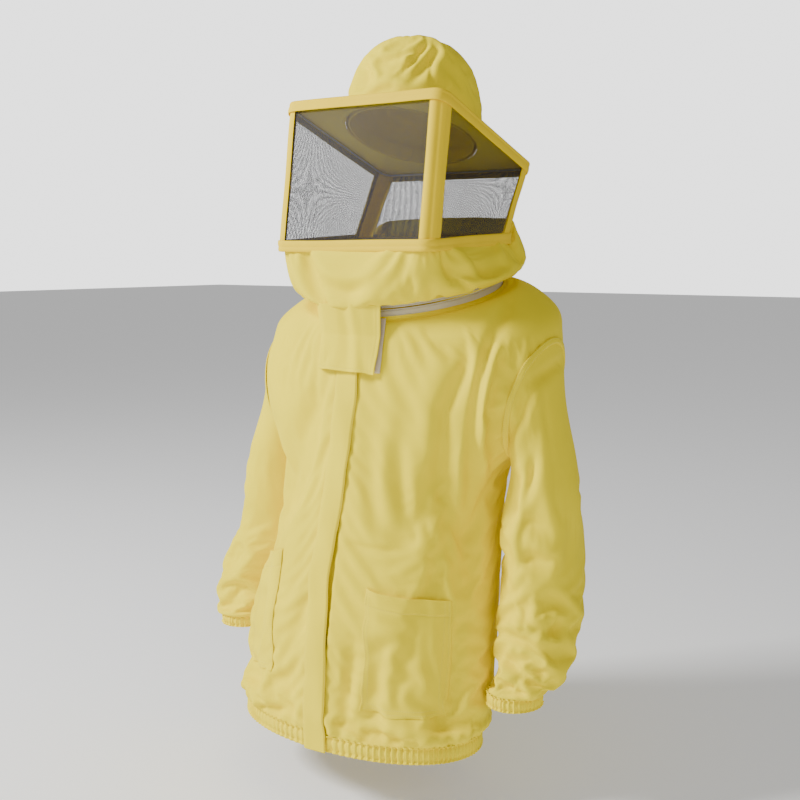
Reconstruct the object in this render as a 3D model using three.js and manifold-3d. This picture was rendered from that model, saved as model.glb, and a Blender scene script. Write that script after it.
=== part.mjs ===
// A beekeeping jacket: cotton body and sleeves, a square wire-framed veil hood that zips to a
// tilted neck ring, a front zip under a placket, a hook-and-loop neck flap and two patch pockets.
// Millimetres. +Z up, the wearer faces -Y, the wearer's left is +X. The origin is the centre of
// the neck zip's ring.
import * as THREE from 'three';
import { mergeVertices } from 'three/addons/utils/BufferGeometryUtils.js';
import Module from 'manifold-3d';

const wasm = await Module();
wasm.setup();

// ---------------------------------------------------------------- driving dimensions
const CLOTH = 2.5; // wall of the garment's cloth solids
const SEAM_GAP = 0.3; // air between neighbouring cloth solids
const BODY_SEGMENTS = 40;
const SLEEVE_SEGMENTS = 20;

const RING_TILT = 13.5; // neck ring, lower at the front
const COLLAR_R = 144; // cloth collar that carries the lower half of the neck zip
const COLLAR_TOP = -6;
const COLLAR_BOTTOM = -13;
const TAPE_THICK = 1.1;
const COIL_R = 1.0;
const NECK_COIL_R = 137; // radius of the neck zip's coil rings
const NECK_COIL_LOW = 1.6; // height of the lower coil over the ring's plane
const ZIP_WEB = 0.9; // web of a slider, between the two coils
const ZIP_WEB_CLEAR = 0.45;
const ZIP_START_DEG = -95;
const ZIP_TURN_DEG = 350;

const WAIST_Z = -272;
const HEM_Z = -652;
const ZIP_TOP = new THREE.Vector3(-3, -139.5, -56);
const ZIP_END = new THREE.Vector3(-30, -206.5, HEM_Z - 16);
const ZIP_DEPTH = -4.2; // middle of the coils, measured outward from the front panels
const ZIP_SLOT = 11.5; // half the opening between the front panels
const PLACKET_HALF = 19;
const PLACKET_RAISE = 5.4; // air under the placket, for the slider and its pull
const PLACKET_TOP = 40; // distance of the placket's top below the zip's top

const HEM_HEIGHT = 26;
const CUFF_HEIGHT = 20;
const POCKET_GAPE = 14; // room inside a pocket
const SLEEVE_JOIN_Z = -285; // where the sleeve head meets the sleeve

const HOOD_HALF = 142.5; // half the hood's width
const HOOD_CORNER = 20;
const BRIM_FRONT = [-125, 273]; // y, z of the brim's front edge
const BRIM_BACK = [127, 181];
const HOOP_FRONT = [-155, 61]; // y, z of the lower hoop
const HOOP_BACK = [75, 74];
const BIND_THICK = 1.5;
const BIND_WALL = 16;
const WIRE_R = 1.6;
const MESH_THICK = 1.2;
const CROWN_R = 101;

// Height of a place below the waist, by its share of the way down to the hem.
const skirtZ = (share) => WAIST_Z + (HEM_Z - WAIST_Z) * share;

// Body sections: centre x, y, z, half width, half depth, tilt, squareness, shoulder drop.
const BODY = [
  [0, 1.4, -5.8, COLLAR_R, COLLAR_R, RING_TILT, 2, 0],
  [0, 3.0, -12.6, COLLAR_R, COLLAR_R, RING_TILT, 2, 0],
  [0, 2, -13, 172, 147, 13.5, 2.1, -8],
  [0, 5, -24, 208, 150, 13, 2.2, -4],
  [0, 4, -46, 243, 150, 11, 2.2, 2],
  [0, 0.7, -84, 256, 148, 7, 2.15, 4],
  [-2, -4, -130, 258, 146, 4, 2.1, 0],
  [-4, -10.8, -178, 240, 144, 2, 2.1, 0],
  [-8, -17, -225, 206, 142, 1, 2.1, 0],
  [-12, -23, WAIST_Z, 181, 141, 0, 2.1, 0],
  [-18, -37, skirtZ(0.2842), 184, 139, 0, 2.1, 0],
  [-27, -50, skirtZ(0.4684), 200, 134, 0, 2.1, 0],
  [-35, -63, skirtZ(0.6526), 214, 128, 0, 2.1, 0],
  [-31, -78, skirtZ(0.8632), 213, 122, 0, 2.1, 0],
  [-32, -88, HEM_Z, 206, 118, 0, 2.1, 0],
];
// Sleeve sections: centre x, y, z, half width, half depth.
const LEFT_SLEEVE = [
  [212, 0, -80, 40, 78], [222, 0, -127, 44, 84], [229, 2, -190, 46, 82], [238, 4, -250, 46, 80],
  [234, 5, SLEEVE_JOIN_Z, 51, 78], [233, 7, -340, 56, 76], [234, 8, -388, 59, 74],
  [238, 0, -436, 59, 72], [242, -14, -484, 57, 68], [242, -32, -528, 53, 60],
  [234, -46, -558, 45, 50], [226, -55, -577, 38, 42],
];
const RIGHT_SLEEVE = [
  [-212, 0, -80, 40, 78], [-224, 0, -127, 44, 84], [-240, 0, -190, 48, 82],
  [-256, 0, -250, 50, 80], [-260, 1, SLEEVE_JOIN_Z, 54, 78], [-267, 3, -340, 58, 76],
  [-276, 5, -386, 61, 74], [-294, -3, -430, 60, 72], [-310, -15, -472, 58, 67],
  [-318, -29, -516, 54, 60], [-316, -39, -542, 45, 50], [-313, -44, -556, 38, 42],
];
// Armhole planes: two points (x, z) each.
const LEFT_ARMHOLE = [[250, -55], [187, -255]];
const RIGHT_ARMHOLE = [[-252, -55], [-205, -255]];

const YELLOW = 0xefe08a;
const BINDING = 0xe6c43a;
const WHITE_TAPE = 0xe8e2cc;
const MESH_DARK = 0x2a2a2c;
const STEEL = 0xb9bcc0;
const BEIGE = 0xd9d0b4;

// ---------------------------------------------------------------- geometry helpers
const vec = (x, y, z) => new THREE.Vector3(x, y, z);
const radians = (degrees) => (degrees * Math.PI) / 180;
const mix = (a, b, t) => a + (b - a) * t;

// Builds an outward-facing closed geometry from points and triangles.
function closedGeometry(points, faces) {
  let volume = 0;
  for (const [a, b, c] of faces) {
    volume += points[a].dot(points[b].clone().cross(points[c]));
  }
  const index = faces.flatMap((f) => (volume < 0 ? [f[0], f[2], f[1]] : f));
  const geometry = new THREE.BufferGeometry();
  geometry.setAttribute(
    'position',
    new THREE.Float32BufferAttribute(points.flatMap((p) => [p.x, p.y, p.z]), 3),
  );
  geometry.setIndex(index);
  return geometry;
}

// Sweeps a profile [a, b] along stations {p, a, b}; a closed sweep joins its last station
// to its first, an open one gets a cap at each end.
function sweep(stations, profile, closed) {
  const points = [];
  const faces = [];
  const width = profile.length;
  for (const s of stations) {
    for (const [u, v] of profile) {
      points.push(s.p.clone().addScaledVector(s.a, u).addScaledVector(s.b, v));
    }
  }
  const count = stations.length;
  const spans = closed ? count : count - 1;
  for (let i = 0; i < spans; i += 1) {
    const next = (i + 1) % count;
    for (let j = 0; j < width; j += 1) {
      const k = (j + 1) % width;
      const corners = [i * width + j, i * width + k, next * width + k, next * width + j];
      faces.push([corners[0], corners[1], corners[2]], [corners[0], corners[2], corners[3]]);
    }
  }
  if (!closed) {
    const shape = profile.map(([u, v]) => new THREE.Vector2(u, v));
    const order = THREE.ShapeUtils.isClockWise(shape) ? -1 : 1;
    const cap = THREE.ShapeUtils.triangulateShape(shape, []);
    const last = (count - 1) * width;
    for (const [x, y, z] of cap) {
      faces.push(order > 0 ? [x, z, y] : [x, y, z]);
      faces.push(order > 0 ? [last + x, last + y, last + z] : [last + x, last + z, last + y]);
    }
  }
  return closedGeometry(points, faces);
}

// Closed solid through a list of rings with the same number of points.
function loft(rings) {
  const points = rings.flat();
  const faces = [];
  const width = rings[0].length;
  for (let i = 0; i < rings.length - 1; i += 1) {
    for (let j = 0; j < width; j += 1) {
      const k = (j + 1) % width;
      const corners = [i * width + j, i * width + k, (i + 1) * width + k, (i + 1) * width + j];
      faces.push([corners[0], corners[1], corners[2]], [corners[0], corners[2], corners[3]]);
    }
  }
  for (const [start, flip] of [[0, true], [(rings.length - 1) * width, false]]) {
    const middle = new THREE.Vector3();
    for (let j = 0; j < width; j += 1) {
      middle.add(points[start + j]);
    }
    points.push(middle.divideScalar(width));
    const hub = points.length - 1;
    for (let j = 0; j < width; j += 1) {
      const k = (j + 1) % width;
      faces.push(flip ? [start + k, start + j, hub] : [start + j, start + k, hub]);
    }
  }
  return closedGeometry(points, faces);
}

// Outward normals of a grid of rings; round tells whether each ring closes on itself.
function gridNormals(rings, round) {
  const rows = rings.length;
  const width = rings[0].length;
  const normals = rings.map((ring, i) => ring.map((point, j) => {
    const up = rings[Math.max(i - 1, 0)][j];
    const down = rings[Math.min(i + 1, rows - 1)][j];
    const before = round ? ring[(j + width - 1) % width] : ring[Math.max(j - 1, 0)];
    const after = round ? ring[(j + 1) % width] : ring[Math.min(j + 1, width - 1)];
    return after.clone().sub(before).cross(down.clone().sub(up)).normalize();
  }));
  return normals;
}

function offsetRings(rings, distance, round, outward) {
  const normals = gridNormals(rings, round);
  const sign = outward(rings, normals) ? 1 : -1;
  return rings.map((ring, i) => ring.map(
    (point, j) => point.clone().addScaledVector(normals[i][j], sign * distance),
  ));
}

// True when the normals of a closed tube point away from its middle.
function tubeOutward(rings, normals) {
  let score = 0;
  rings.forEach((ring, i) => {
    const middle = ring.reduce((sum, p) => sum.add(p), new THREE.Vector3());
    middle.divideScalar(ring.length);
    ring.forEach((p, j) => {
      score += p.clone().sub(middle).dot(normals[i][j]);
    });
  });
  return score > 0;
}

// Wall of a tube between outer rings and inner rings, open at both ends.
function tubeWall(outer, inner) {
  const width = outer[0].length;
  const rows = outer.length;
  const points = [...outer.flat(), ...inner.flat()];
  const base = rows * width;
  const faces = [];
  const quad = (a, b, c, d) => faces.push([a, b, c], [a, c, d]);
  for (let j = 0; j < width; j += 1) {
    const k = (j + 1) % width;
    for (let i = 0; i < rows - 1; i += 1) {
      const low = (i + 1) * width;
      quad(i * width + j, i * width + k, low + k, low + j);
      quad(base + i * width + k, base + i * width + j, base + low + j, base + low + k);
    }
    const last = (rows - 1) * width;
    quad(k, j, base + j, base + k);
    quad(last + j, last + k, base + last + k, base + last + j);
  }
  return closedGeometry(points, faces);
}

// Plate that follows a grid of points, with its back face moved along the given vectors.
function plate(front, back) {
  const width = front[0].length;
  const rows = front.length;
  const points = [...front.flat(), ...back.flat()];
  const base = rows * width;
  const faces = [];
  const quad = (a, b, c, d) => faces.push([a, b, c], [a, c, d]);
  for (let i = 0; i < rows - 1; i += 1) {
    for (let j = 0; j < width - 1; j += 1) {
      const at = i * width + j;
      quad(at, at + 1, at + width + 1, at + width);
      quad(base + at + 1, base + at, base + at + width, base + at + width + 1);
    }
  }
  for (let j = 0; j < width - 1; j += 1) {
    const last = (rows - 1) * width + j;
    quad(j + 1, j, base + j, base + j + 1);
    quad(last, last + 1, base + last + 1, base + last);
  }
  for (let i = 0; i < rows - 1; i += 1) {
    const left = i * width;
    const right = left + width - 1;
    quad(left, left + width, base + left + width, base + left);
    quad(right + width, right, base + right, base + right + width);
  }
  return closedGeometry(points, faces);
}

function box(x0, x1, y0, y1, z0, z1) {
  const geometry = new THREE.BoxGeometry(x1 - x0, y1 - y0, z1 - z0);
  geometry.translate((x0 + x1) / 2, (y0 + y1) / 2, (z0 + z1) / 2);
  return geometry;
}

function toSolid(geometry) {
  const clean = geometry.clone();
  clean.deleteAttribute('normal');
  clean.deleteAttribute('uv');
  const merged = mergeVertices(clean, 1e-3);
  return new wasm.Manifold(new wasm.Mesh({
    numProp: 3,
    vertProperties: new Float32Array(merged.attributes.position.array),
    triVerts: new Uint32Array(merged.index.array),
  }));
}

function toGeometry(solid) {
  const mesh = solid.getMesh();
  const geometry = new THREE.BufferGeometry();
  const flat = [];
  for (let i = 0; i < mesh.vertProperties.length; i += mesh.numProp) {
    flat.push(mesh.vertProperties[i], mesh.vertProperties[i + 1], mesh.vertProperties[i + 2]);
  }
  geometry.setAttribute('position', new THREE.Float32BufferAttribute(flat, 3));
  geometry.setIndex(Array.from(mesh.triVerts));
  return geometry;
}

// Keeps the largest connected piece of a geometry, which drops slivers left by a cut.
function largestPiece(geometry) {
  const index = Array.from(geometry.index.array);
  const parent = Array.from({ length: geometry.attributes.position.count }, (_, i) => i);
  const root = (i) => {
    let at = i;
    while (parent[at] !== at) {
      parent[at] = parent[parent[at]];
      at = parent[at];
    }
    return at;
  };
  for (let i = 0; i < index.length; i += 3) {
    parent[root(index[i])] = root(index[i + 1]);
    parent[root(index[i + 1])] = root(index[i + 2]);
  }
  const sizes = new Map();
  for (let i = 0; i < index.length; i += 3) {
    const key = root(index[i]);
    sizes.set(key, (sizes.get(key) || 0) + 1);
  }
  const best = [...sizes.entries()].sort((a, b) => b[1] - a[1])[0][0];
  const kept = [];
  for (let i = 0; i < index.length; i += 3) {
    if (root(index[i]) === best) {
      kept.push(index[i], index[i + 1], index[i + 2]);
    }
  }
  const result = geometry.clone();
  result.setIndex(kept);
  return result;
}

// A large block whose one face lies on the plane through a point with the given outward normal.
function halfSpace(point, normal, size = 3000) {
  const geometry = new THREE.BoxGeometry(size, size, size);
  geometry.translate(0, 0, size / 2);
  const turn = new THREE.Quaternion().setFromUnitVectors(vec(0, 0, 1), normal);
  geometry.applyQuaternion(turn);
  geometry.translate(point.x, point.y, point.z);
  return geometry;
}

const group = new THREE.Group();

function addPart(name, geometry, color, roughness = 0.9, metalness = 0) {
  const material = new THREE.MeshStandardMaterial({ color, roughness, metalness });
  const mesh = new THREE.Mesh(geometry, material);
  mesh.name = name;
  group.add(mesh);
}

// ---------------------------------------------------------------- body sections
function bodyRow(position) {
  const i = Math.min(Math.floor(position), BODY.length - 2);
  const t = position - i;
  return BODY[i].map((value, k) => mix(value, BODY[i + 1][k], t));
}

// Point of a body section at an angle; 0 is the wearer's left and 90 the back.
function bodyPoint([cx, cy, cz, halfWidth, halfDepth, tilt, square, drop], degrees) {
  const c = Math.cos(radians(degrees));
  const s = Math.sin(radians(degrees));
  const power = 2 / square;
  const u = Math.sign(c) * Math.abs(c) ** power;
  const v = Math.sign(s) * Math.abs(s) ** power;
  return vec(
    cx + halfWidth * u,
    cy + halfDepth * v * Math.cos(radians(tilt)),
    cz + halfDepth * v * Math.sin(radians(tilt)) - drop * u * u,
  );
}

function bodyRings() {
  return BODY.map((row) => Array.from(
    { length: BODY_SEGMENTS },
    (_, j) => bodyPoint(row, (j * 360) / BODY_SEGMENTS + 4.5),
  ));
}

function sleeveRing([cx, cy, cz, halfWidth, halfDepth]) {
  return Array.from({ length: SLEEVE_SEGMENTS }, (_, j) => {
    const angle = (j * 2 * Math.PI) / SLEEVE_SEGMENTS;
    return vec(cx + halfWidth * Math.cos(angle), cy + halfDepth * Math.sin(angle), cz);
  });
}

function shiftRing(ring, x, y, z) {
  return ring.map((p) => vec(p.x + x, p.y + y, p.z + z));
}

// Outer front surface of the body: y at an x and z below the collar.
function frontY(x, z) {
  let low = 2;
  let high = BODY.length - 1;
  const at = (position) => {
    const [cx, cy, cz, halfWidth, halfDepth, tilt, square, drop] = bodyRow(position);
    const u = Math.min(Math.abs(x - cx) / halfWidth, 0.995);
    const v = -halfDepth * (1 - u ** square) ** (1 / square);
    return {
      y: cy + v * Math.cos(radians(tilt)),
      z: cz + v * Math.sin(radians(tilt)) - drop * u * u,
    };
  };
  for (let i = 0; i < 40; i += 1) {
    const middle = (low + high) / 2;
    if (at(middle).z > z) {
      low = middle;
    } else {
      high = middle;
    }
  }
  return at((low + high) / 2).y;
}

// Point at a height over the body's front, measured along the surface's normal.
function overFront(x, z, height) {
  const step = 4;
  const sx = (frontY(x + step, z) - frontY(x - step, z)) / (2 * step);
  const sz = (frontY(x, z + step) - frontY(x, z - step)) / (2 * step);
  const normal = vec(sx, -1, sz).normalize();
  return vec(x, frontY(x, z), z).addScaledVector(normal, height);
}

// ---------------------------------------------------------------- garment shell and panels
function armholePlane([[x0, z0], [x1, z1]], side, gap) {
  const normal = vec(side * (z0 - z1), 0, -(x0 - x1) * side).normalize();
  const along = vec(x1 - x0, 0, z1 - z0).normalize();
  const outward = normal.clone().addScaledVector(along, -normal.dot(along)).normalize();
  if (outward.x * side < 0) {
    outward.negate();
  }
  const point = vec(x0, 0, z0).addScaledVector(outward, gap);
  return { point, outward };
}

function armholeCutter(line, side, gap) {
  const { point, outward } = armholePlane(line, side, gap);
  const beyond = toSolid(halfSpace(point, outward));
  return beyond.intersect(toSolid(box(-700, 700, -400, 400, SLEEVE_JOIN_Z - 6, 100)));
}

function garmentShell() {
  const outerRings = bodyRings();
  const innerRings = offsetRings(outerRings, -CLOTH, true, tubeOutward);
  const neckUp = vec(0, -Math.sin(radians(RING_TILT)), Math.cos(radians(RING_TILT)));
  const above = shiftRing(innerRings[0], neckUp.x * 40, neckUp.y * 40, neckUp.z * 40);
  const below = shiftRing(innerRings.at(-1), 0, 0, -40);
  let outer = toSolid(loft(outerRings));
  let inner = toSolid(loft([above, ...innerRings, below]));
  for (const sections of [LEFT_SLEEVE, RIGHT_SLEEVE]) {
    const rings = sections.slice(0, 5).map(sleeveRing);
    const hollow = offsetRings(rings, -CLOTH, true, tubeOutward);
    hollow.push(shiftRing(hollow.at(-1), 0, 0, -30));
    outer = outer.add(toSolid(loft(rings)));
    inner = inner.add(toSolid(loft(hollow)));
  }
  return outer.subtract(inner);
}

function zipFrame() {
  const down = ZIP_END.clone().sub(ZIP_TOP).normalize();
  const across = vec(1, 0, 0).addScaledVector(down, -down.x).normalize();
  const out = across.clone().cross(down).normalize();
  if (out.y > 0) {
    out.negate();
  }
  return { down, across, out, length: ZIP_END.distanceTo(ZIP_TOP) };
}

// Block in the zip's frame: ranges across, outward and down the zip.
function zipBlock(a0, a1, o0, o1, d0, d1) {
  const { down, across, out } = zipFrame();
  const stations = [d0, d1].map((d) => ({
    p: ZIP_TOP.clone().addScaledVector(down, d), a: across, b: out,
  }));
  return sweep(stations, [[a0, o0], [a1, o0], [a1, o1], [a0, o1]], false);
}

function bodyPanels() {
  const half = SEAM_GAP / 2;
  const shell = garmentShell();
  const leftCut = armholeCutter(LEFT_ARMHOLE, 1, half);
  const rightCut = armholeCutter(RIGHT_ARMHOLE, -1, half);
  addPart('left_sleeve_head', largestPiece(toGeometry(shell.intersect(leftCut))), YELLOW);
  addPart('right_sleeve_head', largestPiece(toGeometry(shell.intersect(rightCut))), YELLOW);
  const torso = shell
    .subtract(armholeCutter(LEFT_ARMHOLE, 1, -half))
    .subtract(armholeCutter(RIGHT_ARMHOLE, -1, -half));
  const seam = vec(0, 1, -0.14).normalize();
  const behind = toSolid(halfSpace(vec(0, 5, 0).addScaledVector(seam, half), seam));
  const before = toSolid(halfSpace(vec(0, 5, 0).addScaledVector(seam, -half), seam.clone().negate()));
  addPart('back_panel', largestPiece(toGeometry(torso.intersect(behind))), YELLOW);
  const { length } = zipFrame();
  const front = torso.intersect(before).subtract(
    toSolid(zipBlock(-ZIP_SLOT, ZIP_SLOT, -40, 40, -60, length + 60)),
  );
  const leftSide = toSolid(zipBlock(0, 500, -400, 200, -200, length + 200));
  const rightSide = toSolid(zipBlock(-500, 0, -400, 200, -200, length + 200));
  addPart('front_panel_left', largestPiece(toGeometry(front.intersect(leftSide))), YELLOW);
  addPart('front_panel_right', largestPiece(toGeometry(front.intersect(rightSide))), YELLOW);
}

// ---------------------------------------------------------------- sleeves, cuffs and hem
function ellipseStations(cx, cy, cz, halfWidth, halfDepth, count, square = 2) {
  const rim = Array.from({ length: count }, (_, j) => {
    const angle = (j * 2 * Math.PI) / count;
    const power = 2 / square;
    const u = Math.sign(Math.cos(angle)) * Math.abs(Math.cos(angle)) ** power;
    const v = Math.sign(Math.sin(angle)) * Math.abs(Math.sin(angle)) ** power;
    return vec(cx + halfWidth * u, cy + halfDepth * v, cz);
  });
  return rim.map((p, j) => {
    const before = rim[(j + count - 1) % count];
    const after = rim[(j + 1) % count];
    const tangent = after.clone().sub(before).normalize();
    return { p, a: tangent.cross(vec(0, 0, 1)).normalize(), b: vec(0, 0, 1) };
  });
}

// Channel of folded cloth, open at the top, and the elastic that lies in it.
function channelProfile(height) {
  return [
    [0, 0], [0, -height], [-8.4, -height], [-8.4, -4], [-6.4, -4], [-6.4, 2 - height],
    [-2, 2 - height], [-2, 0],
  ];
}

function elasticProfile(height) {
  return [[-2.9, -4], [-2.9, 3.5 - height], [-5.4, 3.5 - height], [-5.4, -4]];
}

function sleeve(side, sections) {
  const start = sections[4].slice();
  start[2] -= SEAM_GAP;
  const rings = [start, ...sections.slice(5)].map(sleeveRing);
  const inner = offsetRings(rings, -CLOTH, true, tubeOutward);
  inner[0] = inner[0].map((p) => vec(p.x, p.y, start[2]));
  addPart(`${side}_sleeve`, tubeWall(rings, inner), YELLOW);
  const [cx, cy, cz, halfWidth, halfDepth] = sections.at(-1);
  const stations = ellipseStations(cx, cy, cz - SEAM_GAP - 1.2, halfWidth, halfDepth, 28);
  addPart(`${side}_cuff_casing`, sweep(stations, channelProfile(CUFF_HEIGHT), true), YELLOW);
  addPart(`${side}_cuff_elastic`, sweep(stations, elasticProfile(CUFF_HEIGHT), true), 0xf2f0e6);
}

function hemStations() {
  const [cx, cy, , halfWidth, halfDepth] = BODY.at(-1);
  const z = HEM_Z - SEAM_GAP - 0.2;
  const all = ellipseStations(cx, cy, z, halfWidth, halfDepth, 96, 2.1);
  const middle = mix(ZIP_TOP.x, ZIP_END.x, 0.99);
  const clear = all.filter((s) => s.p.y > cy || Math.abs(s.p.x - middle) > ZIP_SLOT + 5);
  const first = clear.findIndex((s, i) => {
    const before = clear[(i + clear.length - 1) % clear.length];
    return s.p.distanceTo(before.p) > 24;
  });
  const ordered = [...clear.slice(first), ...clear.slice(0, first)];
  return ordered.filter((s, i) => i % 2 === 0 || i === ordered.length - 1);
}

function hem() {
  const stations = hemStations();
  addPart('hem_casing', sweep(stations, channelProfile(HEM_HEIGHT), false), YELLOW);
  addPart('hem_elastic', sweep(stations.slice(1, -1), elasticProfile(HEM_HEIGHT), false), 0xf2f0e6);
}

// ---------------------------------------------------------------- front zip and placket
const PLATE_HALF = 4.6;
const SLIDER_LENGTH = 14;
const BAR_AT = 9.6; // where the pull's bar crosses the slider
const BAR_HEIGHT = 2.6;

function frontZip() {
  const { length } = zipFrame();
  const coilAt = ZIP_WEB / 2 + ZIP_WEB_CLEAR + COIL_R;
  const mid = ZIP_DEPTH;
  for (const [side, sign] of [['left', 1], ['right', -1]]) {
    const inner = coilAt + COIL_R + SEAM_GAP;
    const strip = [inner, inner + 10.5].map((value) => value * sign);
    addPart(
      `front_zip_tape_${side}`,
      zipBlock(Math.min(...strip), Math.max(...strip), mid - 0.55, mid + 0.55, 0, length - 2),
      WHITE_TAPE,
    );
    const { down, across, out } = zipFrame();
    const stations = [0, length - 2].map((d) => ({
      p: ZIP_TOP.clone().addScaledVector(down, d).addScaledVector(across, coilAt * sign)
        .addScaledVector(out, mid),
      a: across,
      b: out,
    }));
    addPart(`front_zip_coil_${side}`, sweep(stations, circle(COIL_R, 8), false), WHITE_TAPE);
  }
}

function circle(radius, count) {
  return Array.from({ length: count }, (_, j) => {
    const angle = ((j + 0.5) * 2 * Math.PI) / count;
    return [radius * Math.cos(angle), radius * Math.sin(angle)];
  });
}

function placket() {
  const { down, across, out, length } = zipFrame();
  const profile = [
    [-PLACKET_HALF, 1.9], [-PLACKET_HALF + 4, 1.9], [-PLACKET_HALF + 4.6, PLACKET_RAISE],
    [PLACKET_HALF, PLACKET_RAISE], [PLACKET_HALF, PLACKET_RAISE + 2],
    [-PLACKET_HALF + 2, PLACKET_RAISE + 2], [-PLACKET_HALF, PLACKET_RAISE],
  ];
  const stations = [PLACKET_TOP, length + 9].map((d) => ({
    p: ZIP_TOP.clone().addScaledVector(down, d), a: across, b: out,
  }));
  addPart('placket', sweep(stations, profile, false), YELLOW);
}

// A slider in its own frame: x across the zip, y outward, z along the travel. Two plates joined
// by a web, with a bar on two posts for the pull.
function sliderGeometry(coilOffset, openUp) {
  const outerLow = coilOffset + COIL_R + 0.9;
  const innerHigh = coilOffset - COIL_R - 0.7;
  const webHalf = ZIP_WEB / 2;
  const parts = [
    box(-PLATE_HALF, PLATE_HALF, outerLow, outerLow + 1.5, 0, SLIDER_LENGTH),
    box(-PLATE_HALF, PLATE_HALF, innerHigh - 1.4, innerHigh, 0, SLIDER_LENGTH),
    box(-webHalf, webHalf, innerHigh - 0.5, outerLow + 0.5, 0, openUp ? SLIDER_LENGTH : 5),
  ];
  const top = outerLow + 1.5;
  const bar = top + BAR_HEIGHT - 0.3;
  parts.push(box(-3.2, -2.4, top - 0.5, bar + 0.5, BAR_AT - 0.5, BAR_AT + 0.5));
  parts.push(box(2.4, 3.2, top - 0.5, bar + 0.5, BAR_AT - 0.5, BAR_AT + 0.5));
  parts.push(box(-3.2, 3.2, bar - 0.5, bar + 0.5, BAR_AT - 0.5, BAR_AT + 0.5));
  const solid = parts.map(toSolid).reduce((sum, part) => sum.add(part));
  return { geometry: toGeometry(solid), bar };
}

// The pull: an eye around the bar and a tab that lies along the travel.
function pullGeometry(bar) {
  const eye = toSolid(box(-1.8, 1.8, bar - 1.5, bar + 1.5, BAR_AT - 1.5, BAR_AT + 1.5));
  const tab = toSolid(box(-3.6, 3.6, bar - 0.6, bar + 0.6, BAR_AT + 1.2, BAR_AT + 17));
  const hole = toSolid(box(-4, 4, bar - 0.8, bar + 0.8, BAR_AT - 0.8, BAR_AT + 0.8));
  const window = toSolid(box(-2, 2, bar - 2, bar + 2, BAR_AT + 11, BAR_AT + 14));
  return toGeometry(eye.add(tab).subtract(hole).subtract(window));
}

function place(geometry, origin, x, y, z) {
  const matrix = new THREE.Matrix4().makeBasis(x, y, z).setPosition(origin);
  const placed = geometry.clone();
  placed.deleteAttribute('normal');
  placed.applyMatrix4(matrix);
  if (matrix.determinant() < 0) {
    const flipped = Array.from(placed.index.array);
    for (let i = 0; i < flipped.length; i += 3) {
      [flipped[i + 1], flipped[i + 2]] = [flipped[i + 2], flipped[i + 1]];
    }
    placed.setIndex(flipped);
  }
  return placed;
}

function frontSlider() {
  const { down, across, out } = zipFrame();
  const origin = ZIP_TOP.clone().addScaledVector(down, 4);
  const { geometry, bar } = sliderGeometry(ZIP_DEPTH, false);
  addPart('front_slider', place(geometry, origin, across, out, down), STEEL, 0.35, 0.9);
  addPart('front_pull', place(pullGeometry(bar), origin, across, out, down), STEEL, 0.35, 0.9);
}

// ---------------------------------------------------------------- neck zip
function neckFrame() {
  const up = vec(0, -Math.sin(radians(RING_TILT)), Math.cos(radians(RING_TILT)));
  const back = vec(0, Math.cos(radians(RING_TILT)), Math.sin(radians(RING_TILT)));
  return { up, back };
}

function neckPoint(radius, degrees, height) {
  const { up, back } = neckFrame();
  return vec(radius * Math.cos(radians(degrees)), 0, 0)
    .addScaledVector(back, radius * Math.sin(radians(degrees)))
    .addScaledVector(up, height);
}

function neckStations(from, turn, count) {
  const { up } = neckFrame();
  return Array.from({ length: count }, (_, j) => {
    const degrees = from + (turn * j) / (count - 1);
    return { p: vec(0, 0, 0), a: neckPoint(1, degrees, 0), b: up };
  });
}

function neckZip() {
  const stations = neckStations(ZIP_START_DEG, ZIP_TURN_DEG, 49);
  const upperCoil = NECK_COIL_LOW + 2 * COIL_R + ZIP_WEB + 2 * ZIP_WEB_CLEAR;
  const lowEdge = NECK_COIL_LOW - COIL_R - SEAM_GAP;
  const highEdge = upperCoil + COIL_R + SEAM_GAP;
  const r = NECK_COIL_R;
  const outerTape = COLLAR_R - CLOTH - SEAM_GAP - 0.2;
  addPart('neck_zip_tape_lower', sweep(stations, [
    [r - 0.5, lowEdge], [outerTape - TAPE_THICK, -8], [outerTape - TAPE_THICK, -20],
    [outerTape, -20], [outerTape, -8], [r + 0.6, lowEdge],
  ], false), WHITE_TAPE);
  addPart('neck_zip_tape_upper', sweep(stations, [
    [r - 0.6, highEdge], [r + 0.5, highEdge], [r + 0.5, 18], [r - 0.6, 18],
  ], false), WHITE_TAPE);
  for (const [name, height] of [['lower', NECK_COIL_LOW], ['upper', upperCoil]]) {
    const profile = circle(COIL_R, 6).map(([a, b]) => [a + r, b + height]);
    addPart(`neck_zip_coil_${name}`, sweep(stations, profile, false), WHITE_TAPE);
  }
}

function neckSlider() {
  const { up } = neckFrame();
  const degrees = -84;
  const centre = (2 * NECK_COIL_LOW + 2 * COIL_R + ZIP_WEB + 2 * ZIP_WEB_CLEAR) / 2;
  const outward = neckPoint(1, degrees, 0);
  const along = outward.clone().cross(up).normalize();
  if (along.x > 0) {
    along.negate();
  }
  const origin = neckPoint(NECK_COIL_R, degrees, centre)
    .addScaledVector(along, -SLIDER_LENGTH / 2);
  const { geometry, bar } = sliderGeometry(0, true);
  const across = up.clone();
  addPart('neck_slider', place(geometry, origin, across, outward, along), STEEL, 0.35, 0.9);
  addPart('neck_pull', place(pullGeometry(bar), origin, across, outward, along), STEEL, 0.35, 0.9);
}

// ---------------------------------------------------------------- neck flap
const FLAP = { left: -66, right: 44, top: -24, bottom: -120 };

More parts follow.
